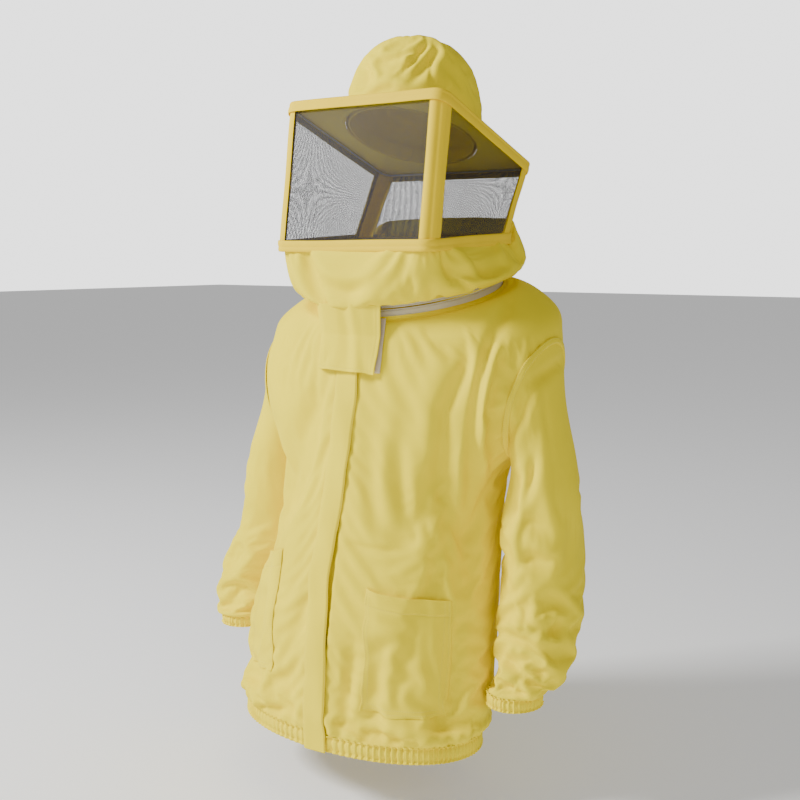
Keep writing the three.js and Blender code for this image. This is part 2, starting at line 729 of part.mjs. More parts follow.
// Height of the flap over the chest across its width: it rises from its sewn edge, stands over
// the zips and comes down on the loop patch.
function flapHeight(t) {
  const heights = [[0, 3], [0.05, 8.5], [0.13, 14], [0.7, 14], [0.8, 9.5], [0.86, 6.4], [1, 6.4]];
  for (let i = 0; i < heights.length - 1; i += 1) {
    const [t0, h0] = heights[i];
    const [t1, h1] = heights[i + 1];
    if (t <= t1) {
      return mix(h0, h1, (t - t0) / (t1 - t0));
    }
  }
  return heights.at(-1)[1];
}

function flapGrid(columns, rows, z0, z1, raise) {
  return rows.map((row) => {
    const z = mix(z0, z1, row);
    return columns.map((t) => {
      const x = mix(FLAP.left, FLAP.right, t);
      const base = overFront(x, Math.min(z, -62), flapHeight(t) + raise);
      base.z += z - Math.min(z, -62);
      base.y -= Math.max(z + 62, 0) * 0.08;
      return base;
    });
  });
}

function neckFlap() {
  const columns = [0.13, 0.28, 0.42, 0.56, 0.7, 0.8, 0.86, 0.93, 1];
  const rows = [0, 0.15, 0.32, 0.5, 0.66, 0.83, 1];
  const top = plate(
    flapGrid(columns, rows, FLAP.top, FLAP.bottom, 2),
    flapGrid(columns, rows, FLAP.top, FLAP.bottom, 0),
  );
  const edge = [0, 0.05, 0.13, 0.2];
  const sewn = plate(
    flapGrid(edge, rows, -60, FLAP.bottom, 2),
    flapGrid(edge, rows, -60, FLAP.bottom, 0),
  );
  addPart('neck_flap', toGeometry(toSolid(top).add(toSolid(sewn))), YELLOW);
  const patch = [0.87, 0.92, 0.98];
  addPart('hook_patch', plate(
    flapGrid(patch, [0, 0.5, 1], -66, FLAP.bottom + 6, -SEAM_GAP),
    flapGrid(patch, [0, 0.5, 1], -66, FLAP.bottom + 6, -1.7),
  ), BEIGE);
  const loopRows = [-64, -98, FLAP.bottom + 4];
  const loopColumns = [32, 40, 50];
  addPart('loop_patch', plate(
    loopRows.map((z) => loopColumns.map((x) => overFront(x, z, 4.0))),
    loopRows.map((z) => loopColumns.map((x) => overFront(x, z, 0.8))),
  ), BEIGE);
}

// ---------------------------------------------------------------- pockets
// Pocket outline on the body's front: x and z ranges along the mouth and the bottom.
const POCKETS = {
  left: { x0: 56, x1: 154, top: skirtZ(0.4211), bottom: skirtZ(0.9) },
  right: { x0: -206, x1: -118, top: skirtZ(0.3526), bottom: skirtZ(0.8421) },
};

// Patch pocket: a front wall that stands off the body, with side walls and a floor.
function pocket(side) {
  const { x0, x1, top, bottom } = POCKETS[side];
  const wall = 2;
  const far = POCKET_GAPE + 1;
  const across = (inset) => Array.from({ length: 9 }, (_, j) => mix(x0 + inset, x1 - inset, j / 8));
  const surface = (inset, z0, z1, height) => [0, 0.25, 0.5, 0.75, 1].map(
    (t) => across(inset).map((x) => overFront(x, mix(z0, z1, t), height)),
  );
  const outer = plate(surface(0, top, bottom, far + wall), surface(0, top, bottom, 2.2));
  const room = plate(
    surface(wall + 0.6, top + 20, bottom + wall, far),
    surface(wall + 0.6, top + 20, bottom + wall, -6),
  );
  addPart(`pocket_${side}`, toGeometry(toSolid(outer).subtract(toSolid(room))), YELLOW);
}

// ---------------------------------------------------------------- hood frames
// Stations around a rounded rectangle between a front and a back edge, seen as (y, z) pairs.
function frameStations([frontEdgeY, frontEdgeZ], [backEdgeY, backEdgeZ], inset, arc = 5) {
  const front = vec(0, frontEdgeY, frontEdgeZ);
  const back = vec(0, backEdgeY, backEdgeZ);
  const along = back.clone().sub(front).normalize();
  const half = front.distanceTo(back) / 2 - inset;
  const middle = front.clone().add(back).multiplyScalar(0.5);
  const up = vec(1, 0, 0).cross(along).normalize();
  const width = HOOD_HALF - inset;
  const r = HOOD_CORNER - inset;
  const stations = [];
  const corners = [[1, 1, 0], [-1, 1, 90], [-1, -1, 180], [1, -1, 270]];
  for (const [sx, sy, start] of corners) {
    for (let i = 0; i <= arc; i += 1) {
      const angle = radians(start + (90 * i) / arc);
      const a = vec(Math.cos(angle), 0, 0).addScaledVector(along, Math.sin(angle));
      const p = middle.clone()
        .add(vec(sx * (width - r), 0, 0))
        .addScaledVector(along, sy * (half - r))
        .addScaledVector(a, r);
      stations.push({ p, a, b: up });
    }
  }
  return stations;
}

function hoodBindings() {
  const brim = frameStations(BRIM_FRONT, BRIM_BACK, 0);
  addPart('brim_binding', sweep(brim, [
    [0, 4], [-10, 4], [-10, 2.6], [-BIND_THICK, 2.6], [-BIND_THICK, -BIND_WALL + 4],
    [0, -BIND_WALL + 4],
  ], true), BINDING);
  const hoop = frameStations(HOOP_FRONT, HOOP_BACK, 0);
  addPart('lower_binding', sweep(hoop, [
    [0, -6], [0, BIND_WALL - 6], [-BIND_THICK, BIND_WALL - 6], [-BIND_THICK, -6],
  ], true), BINDING);
  const wire = circle(WIRE_R, 6);
  addPart('brim_wire', sweep(brim, wire.map(([a, b]) => [a - 4.2, b - 2.3]), true), STEEL, 0.4, 0.9);
  addPart('lower_wire', sweep(hoop, wire.map(([a, b]) => [a - 4.2, b + 2.3]), true), STEEL, 0.4, 0.9);
}

function brimPlate() {
  const rim = frameStations(BRIM_FRONT, BRIM_BACK, 0, 5);
  const up = rim[0].b.clone();
  const middle = rim.reduce((sum, s) => sum.add(s.p), new THREE.Vector3()).divideScalar(rim.length);
  const along = vec(1, 0, 0).cross(up).negate();
  const shape = new THREE.Shape(rim.map((s) => {
    const q = s.p.clone().addScaledVector(s.a, -BIND_THICK - SEAM_GAP).sub(middle);
    return new THREE.Vector2(q.x, q.dot(along));
  }));
  const hole = new THREE.Path();
  hole.absarc(0, 0, CROWN_R + 0.9, 0, 2 * Math.PI, true);
  shape.holes.push(hole);
  const geometry = new THREE.ExtrudeGeometry(shape, { depth: 1.9, bevelEnabled: false, curveSegments: 28 });
  const placed = geometry.applyMatrix4(
    new THREE.Matrix4().makeBasis(vec(1, 0, 0), along, up).setPosition(middle.addScaledVector(up, 0.3)),
  );
  addPart('brim', toGeometry(toSolid(placed)), YELLOW);
}

// Panels and corner strips of the hood's four walls, from the wall's top and bottom outlines.
function hoodWalls() {
  const arc = 5;
  const inset = BIND_THICK + 0.5;
  const top = frameStations(BRIM_FRONT, BRIM_BACK, inset, arc)
    .map((s) => ({ ...s, p: s.p.clone().addScaledVector(s.b, -5) }));
  const lowBack = [HOOP_BACK[0] - 6, HOOP_BACK[1]];
  const bottom = frameStations(HOOP_FRONT, lowBack, inset, arc)
    .map((s) => ({ ...s, p: s.p.clone().addScaledVector(s.b, 5) }));
  const leg = 8; // width of a strip beyond its rounded corner
  const names = ['back_left', 'back_right', 'front_right', 'front_left'];
  const panels = ['mesh_back', 'mesh_right', 'mesh_front', 'mesh_left'];
  const slide = (stations, i, j, distance) => {
    const step = stations[j].p.clone().sub(stations[i].p).normalize();
    return { p: stations[i].p.clone().addScaledVector(step, distance), a: stations[i].a };
  };
  const column = (a, b) => [a, b];
  const skin = (columns, thick) => {
    const rows = [0, 0.5, 1];
    const face = (depth) => rows.map((t) => columns.map(([high, low]) => {
      const p = high.p.clone().lerp(low.p, t);
      const a = high.a.clone().lerp(low.a, t).normalize();
      return p.addScaledVector(a, -depth);
    }));
    return plate(face(0), face(thick));
  };
  for (let k = 0; k < 4; k += 1) {
    const first = k * (arc + 1);
    const last = first + arc;
    const total = 4 * (arc + 1);
    const before = (first + total - 1) % total;
    const after = (last + 1) % total;
    const columns = [column(slide(top, first, before, leg), slide(bottom, first, before, leg))];
    for (let i = first; i <= last; i += 1) {
      columns.push(column(top[i], bottom[i]));
    }
    columns.push(column(slide(top, last, after, leg), slide(bottom, last, after, leg)));
    addPart(`corner_strip_${names[k]}`, skin(columns, BIND_THICK), BINDING);
    const reach = leg + 0.4;
    const start = column(slide(top, last, after, reach), slide(bottom, last, after, reach));
    const end = column(slide(top, after, last, reach), slide(bottom, after, last, reach));
    const middle = column(
      { p: start[0].p.clone().lerp(end[0].p, 0.5), a: start[0].a },
      { p: start[1].p.clone().lerp(end[1].p, 0.5), a: start[1].a },
    );
    addPart(panels[k], skin([start, middle, end], MESH_THICK), MESH_DARK);
  }
}

// ---------------------------------------------------------------- crown
// Radius as a share of the crown's own, and height over the brim.
const CROWN_PROFILE = [
  [1, 0], [1.015, 24], [0.985, 54], [0.906, 86], [0.743, 114], [0.495, 135], [0.238, 145], [0.03, 148],
].map(([share, height]) => [CROWN_R * share, height]);

function crownFrame() {
  const front = vec(0, ...BRIM_FRONT);
  const back = vec(0, ...BRIM_BACK);
  const along = back.clone().sub(front).normalize();
  return { middle: front.add(back).multiplyScalar(0.5), along, up: vec(1, 0, 0).cross(along) };
}

function crownPoint(radius, degrees, height) {
  const { middle, along, up } = crownFrame();
  return middle.clone()
    .add(vec(radius * Math.cos(radians(degrees)), 0, 0))
    .addScaledVector(along, radius * Math.sin(radians(degrees)))
    .addScaledVector(up, height)
    .add(vec(0, -0.12 * height, 0));
}

function crown() {
  const names = ['back_left', 'back_right', 'front_right', 'front_left'];
  const steps = 7;
  names.forEach((name, k) => {
    const grid = (inset) => CROWN_PROFILE.map(([radius, height], row) => {
      const margin = (SEAM_GAP / 2 / radius) * (180 / Math.PI);
      const low = k * 90 + margin;
      const high = (k + 1) * 90 - margin;
      const lean = Math.min(height / 137, 1) ** 3;
      const level = row === 0 ? 0.4 : height - inset * lean;
      const reach = Math.max(radius - inset * (1 - 0.6 * lean), 1.2);
      return Array.from(
        { length: steps + 1 },
        (_, i) => crownPoint(reach, mix(low, high, i / steps), level),
      );
    });
    addPart(`crown_gore_${name}`, plate(grid(0), grid(2)), YELLOW);
  });
  const { up } = crownFrame();
  const stations = Array.from({ length: 32 }, (_, j) => {
    const degrees = (j * 360) / 32;
    const p = crownPoint(0, 0, 0);
    return { p, a: crownPoint(1, degrees, 0).sub(p), b: up };
  });
  const r = CROWN_R - 4;
  addPart('sweatband', sweep(stations, [
    [r, 0.6], [r, 20], [r - 1.6, 20], [r - 1.6, 0.6],
  ], true), 0xf2e9b0);
}

// ---------------------------------------------------------------- neck skirt
// Cloth between the upper zip tape and the lower hoop, pouching over the neck ring.
function neckSkirt() {
  const count = 36;
  const round = (radius, height) => Array.from(
    { length: count },
    (_, j) => neckPoint(radius, (j * 360) / count, height),
  );
  const oval = (cy, cz, halfWidth, halfDepth, tilt, square) => Array.from(
    { length: count },
    (_, j) => bodyPoint([0, cy, cz, halfWidth, halfDepth, tilt, square, 0], (j * 360) / count),
  );
  const hoop = (drop) => {
    const slope = (Math.atan2(HOOP_BACK[1] - HOOP_FRONT[1], HOOP_BACK[0] - HOOP_FRONT[0]) * 180)
      / Math.PI;
    const half = Math.hypot(HOOP_BACK[0] - HOOP_FRONT[0], HOOP_BACK[1] - HOOP_FRONT[1]) / 2;
    const y = (HOOP_FRONT[0] + HOOP_BACK[0]) / 2;
    const z = (HOOP_FRONT[1] + HOOP_BACK[1]) / 2;
    return oval(y, z - drop, HOOD_HALF - 2.2, half - 2.2, slope, 7);
  };
  const rings = [
    round(136.1, 12.5), round(136.1, 18.4), round(142, 21), oval(-8, 24, 162, 156, 11, 2.1),
    oval(-10, 34, 168, 155, 9, 2.4), oval(-20, 48, 162, 142, 6, 3), hoop(8), hoop(0.6),
  ];
  const inner = offsetRings(rings, -2, true, tubeOutward);
  inner[0] = inner[0].map((p, j) => neckPoint(134.1, (j * 360) / count, 12.5));
  inner[1] = inner[1].map((p, j) => neckPoint(134.1, (j * 360) / count, 19.4));
  addPart('neck_skirt', tubeWall(rings, inner), YELLOW);
}

// ---------------------------------------------------------------- assembly
bodyPanels();
sleeve('left', LEFT_SLEEVE);
sleeve('right', RIGHT_SLEEVE);
hem();
frontZip();
placket();
frontSlider();
neckZip();
neckSlider();
neckFlap();
pocket('left');
pocket('right');
hoodBindings();
brimPlate();
hoodWalls();
crown();
neckSkirt();

export default group;
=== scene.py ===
import math
import bmesh
import bpy
import numpy as np
from mathutils import Matrix, Vector
from mathutils.bvhtree import BVHTree


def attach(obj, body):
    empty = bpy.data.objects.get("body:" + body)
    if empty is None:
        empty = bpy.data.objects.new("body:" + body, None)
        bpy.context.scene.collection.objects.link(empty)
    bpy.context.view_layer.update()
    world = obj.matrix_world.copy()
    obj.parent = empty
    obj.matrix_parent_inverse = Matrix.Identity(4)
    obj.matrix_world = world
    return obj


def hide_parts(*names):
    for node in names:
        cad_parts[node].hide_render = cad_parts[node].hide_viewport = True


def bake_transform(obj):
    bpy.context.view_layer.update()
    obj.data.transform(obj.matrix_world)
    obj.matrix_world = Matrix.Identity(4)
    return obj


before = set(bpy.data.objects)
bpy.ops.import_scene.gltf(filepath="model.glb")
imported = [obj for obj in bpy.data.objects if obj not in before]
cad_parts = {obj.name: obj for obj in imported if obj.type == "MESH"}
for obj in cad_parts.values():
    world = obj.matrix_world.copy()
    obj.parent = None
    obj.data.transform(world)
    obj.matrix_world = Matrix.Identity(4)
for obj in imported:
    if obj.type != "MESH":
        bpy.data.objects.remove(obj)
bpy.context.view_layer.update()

# The shape work is in millimetres in the row frame; meshes are written in metres.
RING_TILT = math.radians(13.5)
RING_UP = np.array([0, -math.sin(RING_TILT), math.cos(RING_TILT)])
RING_BACK = np.array([0, math.cos(RING_TILT), math.sin(RING_TILT)])
ZIP_TOP = np.array([-3, -139.5, -56.0])
ZIP_END = np.array([-30, -206.5, -668.0])
HEM_Z = -652


# ---- camera
CAMERA_PLACE = np.array([1045.2, -1481.6, 54.2])
CAMERA_TURN = math.radians(35.7)
CAMERA_PITCH = math.radians(7.2)
LENS = 52.7355
SENSOR = 36
FORWARD = np.array([-math.sin(CAMERA_TURN) * math.cos(CAMERA_PITCH),
                    math.cos(CAMERA_TURN) * math.cos(CAMERA_PITCH), -math.sin(CAMERA_PITCH)])
RIGHT = np.array([math.cos(CAMERA_TURN), math.sin(CAMERA_TURN), 0])
UPWARD = np.cross(RIGHT, FORWARD)


# Fold lines are measured on a plane that faces the camera at this distance, through the chest.
FOLD_PLANE = 1757.85


def view_plane(points):
    """Points projected from the camera to the plane of the fold lines: across and up."""
    rel = points - CAMERA_PLACE
    depth = (rel @ FORWARD)[..., None]
    return np.stack([rel @ RIGHT, rel @ UPWARD], -1) * FOLD_PLANE / depth


# ---- grids and meshes
def unit(v):
    return v / (np.linalg.norm(v, axis=-1, keepdims=True) + 1e-9)


def around(count):
    """Angles of one full turn."""
    return np.linspace(0, 2 * math.pi, count, endpoint=False)


def between(pair, share):
    return pair[0] + (pair[1] - pair[0]) * share


def superellipse(angle, square):
    """An outline between a circle, at 2, and a square."""
    c, s = np.cos(angle), np.sin(angle)
    power = 2 / square
    return np.sign(c) * np.abs(c) ** power, np.sign(s) * np.abs(s) ** power


def grid_normals(P):
    """Outward normals of a grid that closes on itself along its columns."""
    du = np.roll(P, -1, 1) - np.roll(P, 1, 1)
    dv = np.gradient(P, axis=0)
    n = np.cross(du, dv)
    n = unit(n)
    middle = P.mean(axis=1, keepdims=True)
    if ((P - middle) * n).sum() < 0:
        n = -n
    return n


def grid_normals_open(P):
    """Normals of an open grid, towards the front."""
    n = unit(np.cross(np.gradient(P, axis=1), np.gradient(P, axis=0)))
    return -n if n[..., 1].mean() > 0 else n


def resample(P, rows, columns, wrap):
    """Catmull-Rom resampling of a grid of points."""
    def along(A, count, closed):
        n = A.shape[0]
        t = np.arange(count) * n / count if closed else np.linspace(0, n - 1, count)
        i = np.floor(t).astype(int)
        f = (t - i)[:, None, None]
        if closed:
            p = [A[(i + k) % n] for k in (-1, 0, 1, 2)]
        else:
            p = [A[np.clip(i + k, 0, n - 1)] for k in (-1, 0, 1, 2)]
        return 0.5 * (2 * p[1] + (p[2] - p[0]) * f + (2 * p[0] - 5 * p[1] + 4 * p[2] - p[3]) * f ** 2
                      + (3 * p[1] - p[0] - 3 * p[2] + p[3]) * f ** 3)
    P = along(P, rows, False)
    return along(P.transpose(1, 0, 2), columns, wrap).transpose(1, 0, 2)


def add_mesh(name, vertices, faces, material, uvs=None):
    mesh = bpy.data.meshes.new(name)
    mesh.from_pydata([tuple(v) for v in (np.asarray(vertices) * 0.001).tolist()], [], faces)
    mesh.update()
    mesh.polygons.foreach_set("use_smooth", [True] * len(mesh.polygons))
    if uvs is not None:
        layer = mesh.uv_layers.new(name="UVMap")
        corner = np.zeros(len(mesh.loops), np.int32)
        mesh.loops.foreach_get("vertex_index", corner)
        layer.data.foreach_set("uv", np.asarray(uvs)[corner].astype(np.float32).ravel())
    mesh.materials.append(material)
    obj = bpy.data.objects.new(name, mesh)
    bpy.context.scene.collection.objects.link(obj)
    return obj


def grid_faces(rows, columns, wrap, keep=None, offset=0, flip=False):
    i, j = np.meshgrid(np.arange(rows - 1), np.arange(columns if wrap else columns - 1), indexing="ij")
    k = (j + 1) % columns
    quads = np.stack([i * columns + j, i * columns + k, (i + 1) * columns + k, (i + 1) * columns + j], -1)
    quads = quads.reshape(-1, 4)
    if keep is not None:
        quads = quads[keep[quads].all(axis=1)]
    if flip:
        quads = quads[:, ::-1]
    return (quads + offset).tolist()


def grid_uvs(P):
    du = np.linalg.norm(np.diff(P, axis=1), axis=-1).mean(0)
    dv = np.linalg.norm(np.diff(P, axis=0), axis=-1).mean(1)
    u = np.concatenate([[0], np.cumsum(du)])
    v = np.concatenate([[0], np.cumsum(dv)])
    return np.stack(np.meshgrid(u, v), -1).reshape(-1, 2) * 0.001


def cloth_grid(name, P, wrap, material, keep=None):
    rows, columns = P.shape[:2]
    faces = grid_faces(rows, columns, wrap, keep)
    obj = add_mesh(name, P.reshape(-1, 3), faces, material, grid_uvs(P))
    clear_loose(obj)
    return obj


def clear_loose(obj):
    bm = bmesh.new()
    bm.from_mesh(obj.data)
    loose = [v for v in bm.verts if not v.link_faces]
    if loose:
        bmesh.ops.delete(bm, geom=loose, context="VERTS")
    bmesh.ops.recalc_face_normals(bm, faces=bm.faces)
    bm.to_mesh(obj.data)
    bm.free()


def thick_grid(name, P, N, thickness, material):
    """A closed plate: a grid, its copy behind it and a rounded rim."""
    rows, columns = P.shape[:2]
    back = P - N * thickness
    points = np.concatenate([P.reshape(-1, 3), back.reshape(-1, 3)])
    count = rows * columns
    faces = grid_faces(rows, columns, False) + grid_faces(rows, columns, False, offset=count, flip=True)
    rim = list(range(columns)) + [i * columns + columns - 1 for i in range(1, rows)]
    rim += [(rows - 1) * columns + j for j in range(columns - 2, -1, -1)]
    rim += [i * columns for i in range(rows - 2, 0, -1)]
    faces += [[rim[(k + 1) % len(rim)], rim[k], rim[k] + count, rim[(k + 1) % len(rim)] + count]
              for k in range(len(rim))]
    uvs = np.concatenate([grid_uvs(P)] * 2)
    obj = add_mesh(name, points, faces, material, uvs)
    clear_loose(obj)
    return obj


def sweep(name, stations, profile, material, closed=True):
    """Sweeps profile (a, b) along stations (point, a axis, b axis)."""
    p, a, b = (np.array([s[k] for s in stations], float) for k in range(3))
    prof = np.asarray(profile, float)
    if prof.ndim == 2:
        prof = np.broadcast_to(prof, (len(p),) + prof.shape)
    P = p[:, None] + a[:, None] * prof[..., :1] + b[:, None] * prof[..., 1:]
    rows, columns = P.shape[:2]
    if closed:
        P = np.concatenate([P, P[:1]])
        faces = grid_faces(rows + 1, columns, True)
        faces = [[v % (rows * columns) for v in f] for f in faces]
        points = P[:-1].reshape(-1, 3)
    else:
        faces = grid_faces(rows, columns, True)
        points = P.reshape(-1, 3)
        faces.append(list(range(columns)))
        faces.append(list(range((rows - 1) * columns, rows * columns)))
    uvs = grid_uvs(np.concatenate([P, P[:, :1]], 1)).reshape(P.shape[0], -1, 2)[:rows, :columns]
    obj = add_mesh(name, points, faces, material, uvs.reshape(-1, 2))
    clear_loose(obj)
    return obj


def declare(obj, body, slot, *nodes):
    """Hides the nodes a piece stands for and hangs the piece on the body it moves with. slot is not used."""
    if nodes:
        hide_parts(*nodes)
    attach(obj, body)


# ---- cloth relaxation
# Share of a fold's depth that is laid on again after the cloth has settled.
CRISP = 0.5
TIME_STEP = 1 / 60


def settle(P0, grow_u, grow_v, pin, inward, outward, steps, seed, sag, lift, bend=0.12, ripple=1.6):
    """Lets a closed grid of cloth, cut larger than the shape it lies on, fall into folds. pin is
    how firmly each point is held, inward and outward are how far it may leave the shape, lift is
    the folds it starts with and sag is the pull downwards."""
    R, C, _ = P0.shape
    rng = np.random.default_rng(seed)
    N0 = grid_normals(P0)
    index = np.arange(R * C).reshape(R, C)
    gu = np.broadcast_to(grow_u, (R, C)).ravel()
    gv = np.broadcast_to(grow_v, (R, C)).ravel()
    flat = P0.reshape(-1, 3)
    batches = []

    def springs(a, b, grow, stretch, squeeze, axis, period):
        """Springs from a to b, in batches that share no point."""
        for phase in range(period):
            take = [slice(None), slice(None)]
            take[axis] = slice(phase, None, period)
            aa, bb = a[tuple(take)].ravel(), b[tuple(take)].ravel()
            length = np.linalg.norm(flat[bb] - flat[aa], axis=1)
            batches.append((aa, bb, length * ((grow[aa] + grow[bb]) / 2), stretch, squeeze))

    beside, two_along = np.roll(index, -1, 1), np.roll(index, -2, 1)
    springs(index, beside, gu, 1.0, 0.7, 1, 2)
    springs(index[:-1], beside[1:], (gu + gv) / 2, 0.35, 0.2, 0, 2)
    springs(index[1:], beside[:-1], (gu + gv) / 2, 0.35, 0.2, 0, 2)
    springs(index, two_along, gu, bend, bend, 1, 4)
    springs(index[:-1], index[1:], gv, 1.0, 0.7, 0, 2)
    springs(index[:-2], index[2:], gv, bend, bend, 0, 4)

    wave = rng.normal(size=(R, C))
    for _ in range(3):
        wave = (wave + np.roll(wave, 1, 0) + np.roll(wave, -1, 0) + np.roll(wave, 1, 1)
                + np.roll(wave, -1, 1)) / 5
    start = P0 + N0 * wave[..., None] * ripple + N0 * lift[..., None]
    X = np.where(pin[..., None] >= 1, P0, start).reshape(-1, 3)
    V = np.zeros_like(X)
    hold = pin.reshape(-1, 1)
    free = (hold < 1).astype(float)
    n0 = N0.reshape(-1, 3)
    low = -np.broadcast_to(inward, (R, C)).reshape(-1, 1)
    high = np.broadcast_to(outward, (R, C)).reshape(-1, 1)
    for _ in range(steps):
        V[:, 2] -= sag * TIME_STEP
        V *= 0.93
        Y = X + V * TIME_STEP * free
        for _ in range(10):
            for a, b, rest, stretch, squeeze in batches:
                d = Y[b] - Y[a]
                length = np.sqrt((d * d).sum(1)) + 1e-9
                gap = length - rest
                k = np.where(gap > 0, stretch, squeeze)
                wa, wb = free[a, 0], free[b, 0]
                move = d * (k * gap / length / np.maximum(wa + wb, 1e-9))[:, None]
                Y[a] += move * wa[:, None]
                Y[b] -= move * wb[:, None]
            off = ((Y - flat) * n0).sum(1, keepdims=True)
            Y += n0 * (np.clip(off, low, high) - off) * free
        Y += (flat - Y) * (hold * 0.25) * free
        V = (Y - X) / TIME_STEP
        X = Y
    return X.reshape(R, C, 3) + N0 * (lift * CRISP * (1 - pin))[..., None]


FOLD_GAIN = 1.7


def creases(P, N, lines):
    """Displacement of a grid along its normals by fold lines: each is (depth, width, points on
    the plane of the fold lines), a positive depth being a valley."""
    uv = view_plane(P)
    facing = ((CAMERA_PLACE - P) * N).sum(-1)
    facing = np.clip(facing / np.linalg.norm(CAMERA_PLACE - P, axis=-1) * 4, 0, 1)
    total = np.zeros(P.shape[:2])
    for depth, width, line in lines:
        best = np.full(P.shape[:2], 1e9)
        at = np.zeros(P.shape[:2])
        for k in range(len(line) - 1):
            a, b = np.array(line[k], float), np.array(line[k + 1], float)
            t = np.clip(((uv - a) @ (b - a)) / ((b - a) @ (b - a)), 0, 1)
            d = np.linalg.norm(uv - a - t[..., None] * (b - a), axis=-1)
            at = np.where(d < best, (k + t) / (len(line) - 1), at)
            best = np.minimum(best, d)
        taper = np.sin(np.pi * np.clip(at * 0.9 + 0.05, 0, 1)) ** 0.5
        total -= FOLD_GAIN * depth * np.exp(-(best / width) ** 2) * taper * facing
    return total


# ---- materials
def add_node(tree, kind, **inputs):
    """A shader node with values on its inputs."""
    node = tree.nodes.new("ShaderNode" + kind)
    for name, value in inputs.items():
        node.inputs[name.replace("_", " ")].default_value = value
    return node


def math_node(tree, operation, *inputs):
    """A maths node fed by sockets or numbers."""
    node = add_node(tree, "Math")
    node.operation = operation
    for socket, value in zip(node.inputs, inputs):
        if isinstance(value, (int, float)):
            socket.default_value = value
        else:
            tree.links.new(value, socket)
    return node.outputs[0]


def node_material(name, color, rough, weave=0.0, grain=0.06, metal=0.0, bump=0.15):
    """Cloth or metal: a clouded colour over a fine relief, and a weave where one is asked for."""
    material = bpy.data.materials.new(name)
    material.use_nodes = True
    tree = material.node_tree
    shader = tree.nodes["Principled BSDF"]
    shader.inputs["Roughness"].default_value = rough
    shader.inputs["Metallic"].default_value = metal
    shader.inputs["Specular IOR Level"].default_value = 0.5 if metal else 0.25
    coords = add_node(tree, "TexCoord")
    cloud = add_node(tree, "TexNoise", Scale=14, Detail=5)
    tree.links.new(coords.outputs["Object"], cloud.inputs["Vector"])
    tones = add_node(tree, "ValToRGB")
    for stop, position, share in zip(tones.color_ramp.elements, (0.3, 0.7), (1 - grain, 1 + grain)):
        stop.color = (*(min(c * share, 1) for c in color), 1)
        stop.position = position
    tree.links.new(cloud.outputs["Fac"], tones.inputs["Fac"])
    tree.links.new(tones.outputs["Color"], shader.inputs["Base Color"])
    fine = add_node(tree, "TexNoise", Scale=900, Detail=2)
    tree.links.new(coords.outputs["Object"], fine.inputs["Vector"])
    height = fine.outputs["Fac"]
    if weave:
        waves = []
        for direction in ("X", "Y"):
            wave = add_node(tree, "TexWave", Scale=weave, Distortion=0.4)
            wave.bands_direction = direction
            tree.links.new(coords.outputs["UV"], wave.inputs["Vector"])
            waves.append(wave.outputs["Fac"])
        height = math_node(tree, "ADD", math_node(tree, "MULTIPLY", *waves), height)
    relief = add_node(tree, "Bump", Strength=bump, Distance=0.0004)
    tree.links.new(height, relief.inputs["Height"])
    tree.links.new(relief.outputs["Normal"], shader.inputs["Normal"])
    return material


def net_material(name, pitch, thread):
    """Fine net: threads cross at right angles, on the bias, and the rest is open."""
    material = node_material(name, (0.022, 0.022, 0.026), 0.55, grain=0.2)
    tree = material.node_tree
    cloth = add_node(tree, "TexCoord").outputs["UV"]
    drift = add_node(tree, "TexNoise", Scale=160)
    tree.links.new(cloth, drift.inputs["Vector"])
    shift = add_node(tree, "VectorMath")
    shift.operation = "MULTIPLY_ADD"
    shift.inputs[1].default_value = (pitch, pitch, 0)
    tree.links.new(drift.outputs["Color"], shift.inputs[0])
    tree.links.new(cloth, shift.inputs[2])
    turn = add_node(tree, "Mapping", Rotation=(0, 0, math.radians(45)), Scale=(1 / pitch, 1 / pitch, 1))
    tree.links.new(shift.outputs["Vector"], turn.inputs["Vector"])
    split = add_node(tree, "SeparateXYZ")
    tree.links.new(turn.outputs["Vector"], split.inputs["Vector"])
    masks = [math_node(tree, "LESS_THAN", math_node(tree, "FRACT", split.outputs[axis]), thread / pitch)
             for axis in ("X", "Y")]
    tree.links.new(math_node(tree, "MAXIMUM", *masks), tree.nodes["Principled BSDF"].inputs["Alpha"])
    return material


COTTON = node_material("cotton", (0.95, 0.77, 0.008), 0.8, weave=260, grain=0.04)
BINDING = node_material("binding", (0.93, 0.66, 0.004), 0.75, weave=300, grain=0.05)
TAPE = node_material("zip_tape", (0.78, 0.74, 0.62), 0.8, weave=400)
METAL = node_material("zip_metal", (0.6, 0.6, 0.61), 0.32, metal=0.9, grain=0.1)
WIRE = node_material("spring_wire", (0.45, 0.46, 0.48), 0.4, metal=0.9, grain=0.1)
ELASTIC = node_material("elastic", (0.85, 0.84, 0.78), 0.8, weave=350)
BEIGE = node_material("hook_and_loop", (0.62, 0.53, 0.38), 0.95, grain=0.2, bump=0.5)
NET = net_material("veil_net", 0.0013, 0.00043)


# ---- body and sleeve sections
BODY = np.array([
    [0, 1.4, -5.8, 144.6, 144.6, 13.5, 2, 0], [0, 3.0, -12.6, 145, 145, 13.5, 2, 0],
    [0, 2, -13, 172, 147, 13.5, 2.1, -8], [0, 5, -24, 208, 150, 13, 2.2, -4],
    [0, 4, -44, 244, 150, 11, 2.2, 2], [0, 0.7, -82, 258, 148, 7, 2.15, 4],
    [-2, -4, -130, 258, 146, 4, 2.1, 0], [-4, -10.8, -178, 240, 144, 2, 2.1, 0],
    [-8, -17, -225, 206, 142, 1, 2.1, 0], [-12, -23, -272, 184, 141, 0, 2.1, 0],
    [-18, -37, -380, 187, 141, 0, 2.1, 0], [-27, -50, -450, 202, 137, 0, 2.1, 0],
    [-35, -63, -520, 216, 132, 0, 2.1, 0], [-32, -76, -590, 216, 127, 0, 2.1, 0],
    [-32, -84, -625, 213, 124, 0, 2.1, 0], [-32, -88, HEM_Z, 207, 119, 0, 2.1, 0]], float)
